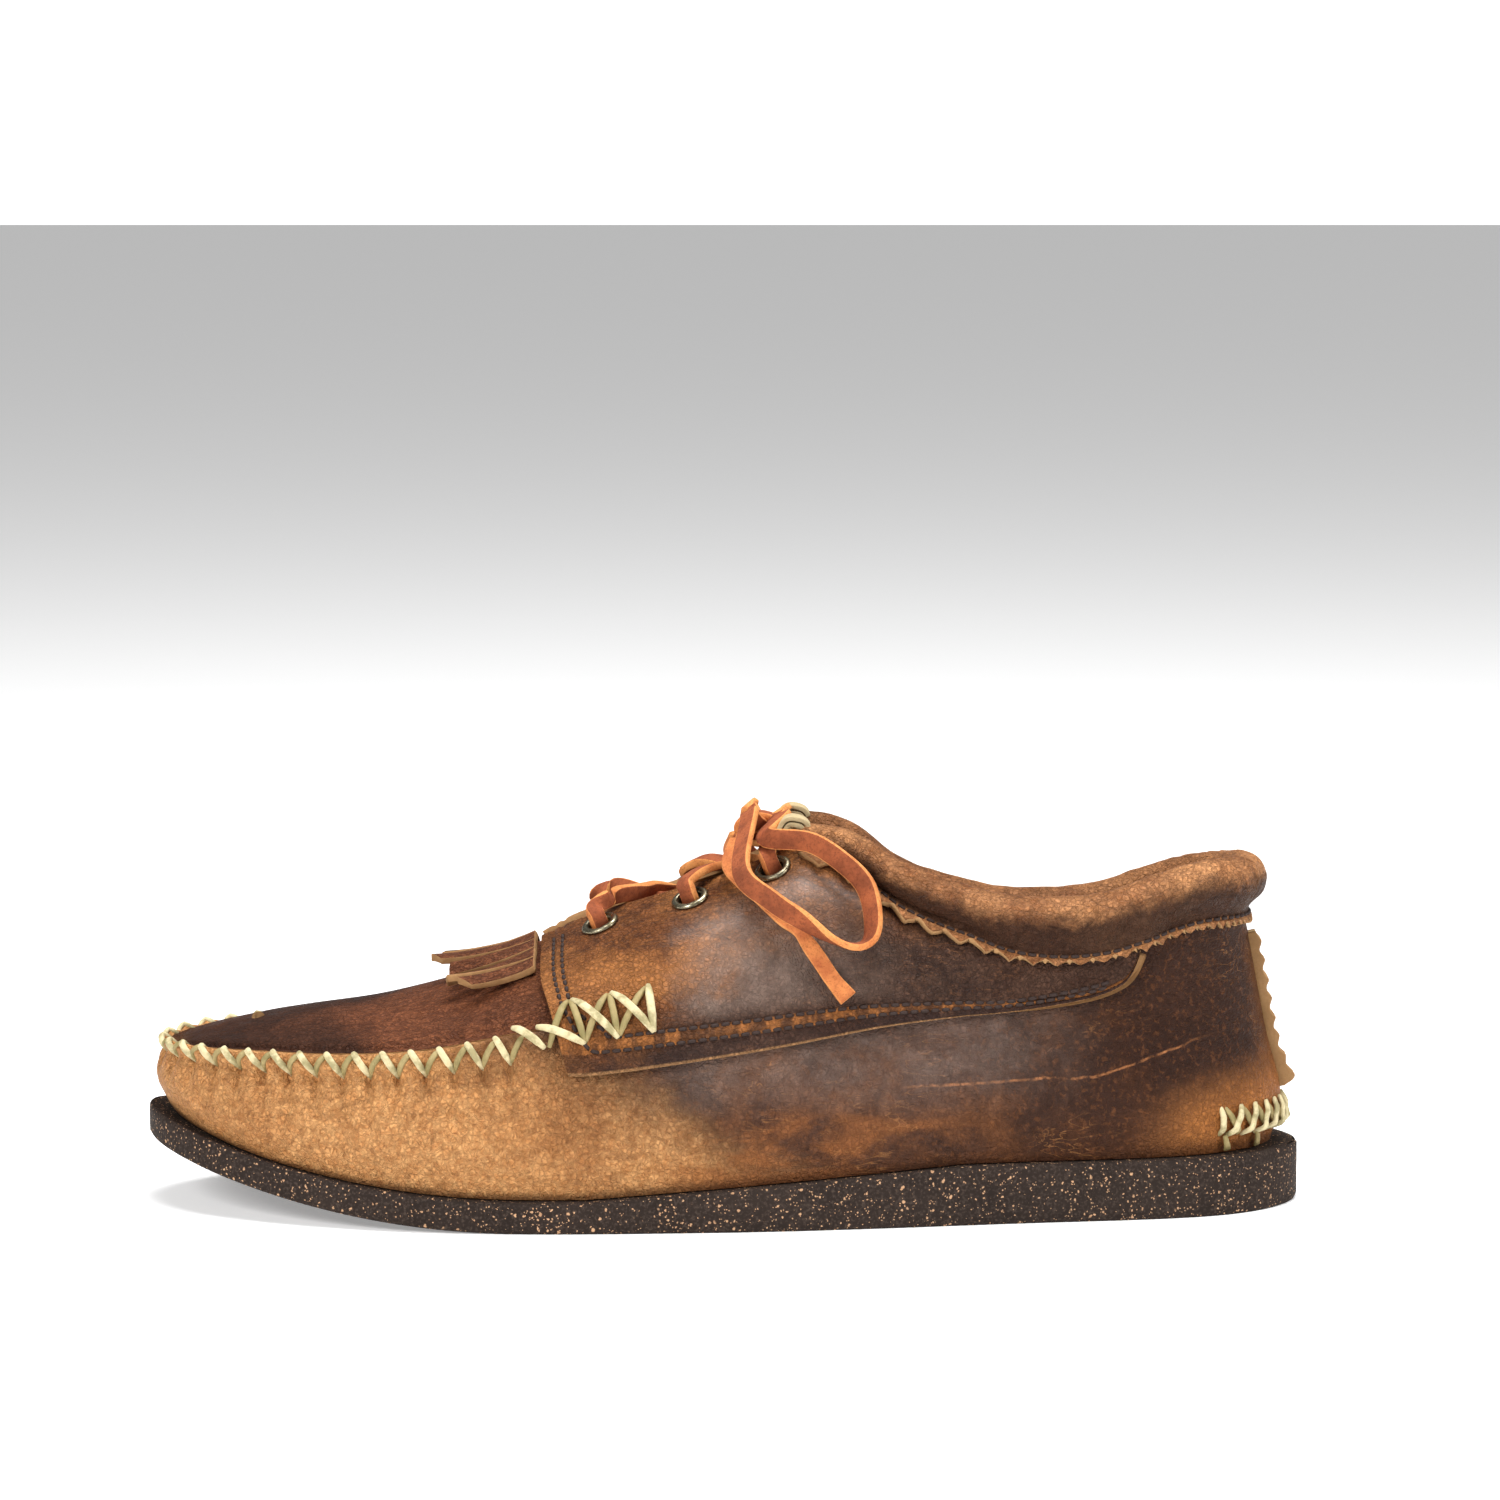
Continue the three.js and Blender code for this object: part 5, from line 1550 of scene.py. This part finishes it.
def rawhide(name, light, dark, fleck):
    finish = Finish(name, specular_ior_level=0.3)
    nap = finish.noise(1400, 6, 0.75)
    soft = finish.noise(170, 4, 0.6)
    ground = finish.blend(soft.step(0.3, 0.7), light, dark)
    ground = finish.blend(nap.step(0.48, 0.66) * 0.6, ground, fleck)
    finish.feed(base_color=ground, roughness=0.7 + 0.22 * nap)
    finish.bump(nap + 0.5 * soft, 0.32, 0.9)
    return finish


lace_face = rawhide("lace_rawhide_face", colour(166, 88, 50), colour(124, 62, 34), colour(88, 42, 25))
lace_edge = rawhide("lace_rawhide_edge", colour(226, 154, 88), colour(200, 120, 64), colour(158, 84, 44))


def throat_point(s, share, lift):
    a, b = form(side_angle(1, s), 1.0), form(side_angle(-1, s), 1.0)
    point = mix(a, b, share)
    point[2] += THROAT_ARCH * np.linalg.norm(b - a) * 4 * share * (1 - share) + lift
    return point


def up_through(side, i):
    """Up through eyelet number i, from under the facing, round and over the flange."""
    top = QUARTER_OUT + LACE_DEPTH / 2
    angle = side_angle(side, EYELET_STATIONS[i])
    places = ((0.55, UNDER_FACING), (0.28, UNDER_FACING + 0.25), (0.04, UNDER_FACING + 1.5), (0, 0.4),
              (0, QUARTER_OUT + GAP), (0.02, top + 1.9), (0.36, top + 2.9))
    return [layer(angle, EYELET_T + across * EYELET_DROP, lift) for across, lift in places]


def crossing(side, i, over):
    """From the top of one eyelet over the throat and under the other facing at the next one."""
    s, after = EYELET_STATIONS[i], EYELET_STATIONS[i + 1]
    middle = 1.4 if over else -1.2

    def share(q):
        return q if side > 0 else 1 - q
    return [
        layer(side_angle(side, mix(s, after, 0.2)), 1.0, QUARTER_OUT + LACE_DEPTH + 1.2),
        throat_point(mix(s, after, 0.38), share(0.24), mix(QUARTER_OUT + 1.2, middle, 0.4)),
        throat_point(mix(s, after, 0.55), share(0.5), middle),
        throat_point(mix(s, after, 0.75), share(0.8), -0.9 if over else -1.6),
        layer(side_angle(-side, mix(s, after, 0.92)), 0.99, UNDER_FACING - 0.1),
    ]


knot_centre = throat_point(KNOT_STATION, 0.5, 7.2)


def from_knot(x, y, z):
    return knot_centre + np.array([x, y, z]) * LACE_THICKNESS / 3


def even_line(points, count):
    line = spline(points, 10)
    run = np.concatenate([[0], np.cumsum(np.linalg.norm(np.diff(line, axis=0), axis=1))])
    return np.array([[np.interp(d, run, line[:, c]) for c in range(3)]
                     for d in np.linspace(0, run[-1], count)])


def lace_strap(name, paths, width, depth):
    """A strap with square edges, which have the edge finish."""
    return strap(name, paths, width, depth, sides=16, square=BOX_EDGE, edge=0.8)


def lace_run():
    paths = []
    for side in (1, -1):
        half = [throat_point(EYELET_STATIONS[0], 0.5, UNDER_FACING), *up_through(side, 0),
                *crossing(side, 0, side > 0), *up_through(-side, 1), *crossing(-side, 1, side < 0),
                *up_through(side, 2), from_knot(1.5, -6.6 * side, -2.2)]
        line = even_line(half, 220)
        paths.append([(p, np.array([0.8, 0.6 * side, 0.3]), 1.0) for p in line])
    return lace_strap("lace_run_strap", paths, RUN_WIDTH, RUN_DEPTH)


def lace_knot():
    """The band of the bow knot turned round the roots of its loops and ends."""
    band = []
    for u in np.linspace(0, 1, 70):
        a = math.radians(mix(-165, 265, u))
        radius = 3.7 + 0.3 * math.sin(2 * a + 0.6)
        place = from_knot(-1.45 * radius * math.cos(a) - 0.6, mix(-2.2, 2.0, u), radius * math.sin(a) - 0.5)
        band.append((place, np.array([0.25, 1.0, 0.15 * math.cos(a)]), 1.0 + 0.1 * math.sin(3 * a)))
    paths = [band]
    roots = ((5, 5, 3.2, 1.0, 0.85), (-3.5, 7.4, 3.4, 0.0, 0.9), (-6.8, 6.4, -2.8, -1.8, 0.7),
             (1.5, 6.6, -2.2, -2.2, 0.7))
    for x, y, z, deep, share in roots:
        line = even_line([from_knot(x, -y, z), from_knot(0.6 * x, -0.6 * y, mix(z, deep, 0.6)),
                          from_knot(0.2 * x, 0, deep), from_knot(0.6 * x, 0.6 * y, mix(z, deep, 0.6)),
                          from_knot(x, y, z)], 40)
        paths.append([(p, np.array([0.7, 0, 0.7]), share) for p in line])
    return lace_strap("lace_knot_bow", paths, LACE_WIDTH, LACE_DEPTH)


OVER_ROLL = 1.5 * COLLAR_RADIUS - 2.8 + 0.7 * (QUARTER_OUT - 2.7)
ON_QUARTER = QUARTER_OUT + GAP
LOOP_ROUTE = ((0.105, 0.97, 3.6), (0.148, 0.905, 3.2), (0.195, 0.865, 2.8), (0.229, 0.825, 2.2),
              (0.248, 0.755, 1.4), (0.245, 0.7, 0.6), (0.221, 0.668, 0.3), (0.179, 0.665, 1.3),
              (0.133, 0.69, 3.4), (0.091, 0.735, 3.7), (0.055, 0.83, 4.1))
END_ROUTE = ((0.03, 0.95, 4), (0.045, 0.87, 2.5), (0.07, 0.79, 2.2), (0.1, 0.72, 2.1), (0.133, 0.67, 2.1),
             (0.158, 0.628, 2.1), (0.183, 0.588, 2.2), (0.208, 0.555, 2.4))


def free_lace(side, word, kind, route, base, starts, ends, count):
    """A free stretch of lace that leaves the knot. A loop stands half on edge, as a strip that
    is bent round must; an end lies flat."""
    places = [layer(side_angle(side, s), t, base + out) for s, t, out in route]
    line = even_line([*starts, *places, *ends], count)
    normal = form_normal(side_angle(side, 0.15), 0.82)
    ahead = np.gradient(line, axis=0)
    path = []
    for k, (point, t) in enumerate(zip(line, ahead)):
        u = k / (count - 1)
        outward = -side * np.cross(t / np.linalg.norm(t), normal)
        if kind == "loop":
            path.append((point, 0.72 * normal + 0.7 * mix(1, -1, ease(u, 0.5, 0.72)) * outward, 1.0))
        else:
            path.append((point, outward + 0.35 * normal, end_width(u)))
    piece = lace_strap(f"lace_{kind}_{word}_strap", [path], LACE_WIDTH, LACE_DEPTH)
    wear(piece, lace_face if kind == "loop" else lace_end_face, lace_edge)
    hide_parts(f"lace_{kind}_{word}")


def end_width(u):
    """The cut end is pinched before its tip and flares at the cut."""
    return 0.78 - 0.3 * math.exp(-((u - 0.66) / 0.05) ** 2) + 0.12 * ease(u, 0.9, 1.0)


lace_end_face = rawhide("lace_rawhide_end", colour(208, 128, 70), colour(172, 94, 50), colour(130, 64, 36))
run = lace_run()
wear(run, lace_face, lace_edge)
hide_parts("lace_run")
knot = lace_knot()
wear(knot, lace_face, lace_edge)
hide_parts("lace_knot")
for side, word in SIDES:
    free_lace(side, word, "loop", LOOP_ROUTE, OVER_ROLL, [from_knot(5, -5 * side, 3.5)],
              [from_knot(-3.5, -7.4 * side, 4.6)], 94)
    free_lace(side, word, "end", END_ROUTE, ON_QUARTER, [from_knot(-6.8, -6.4 * side, -2.8)], [], 61)
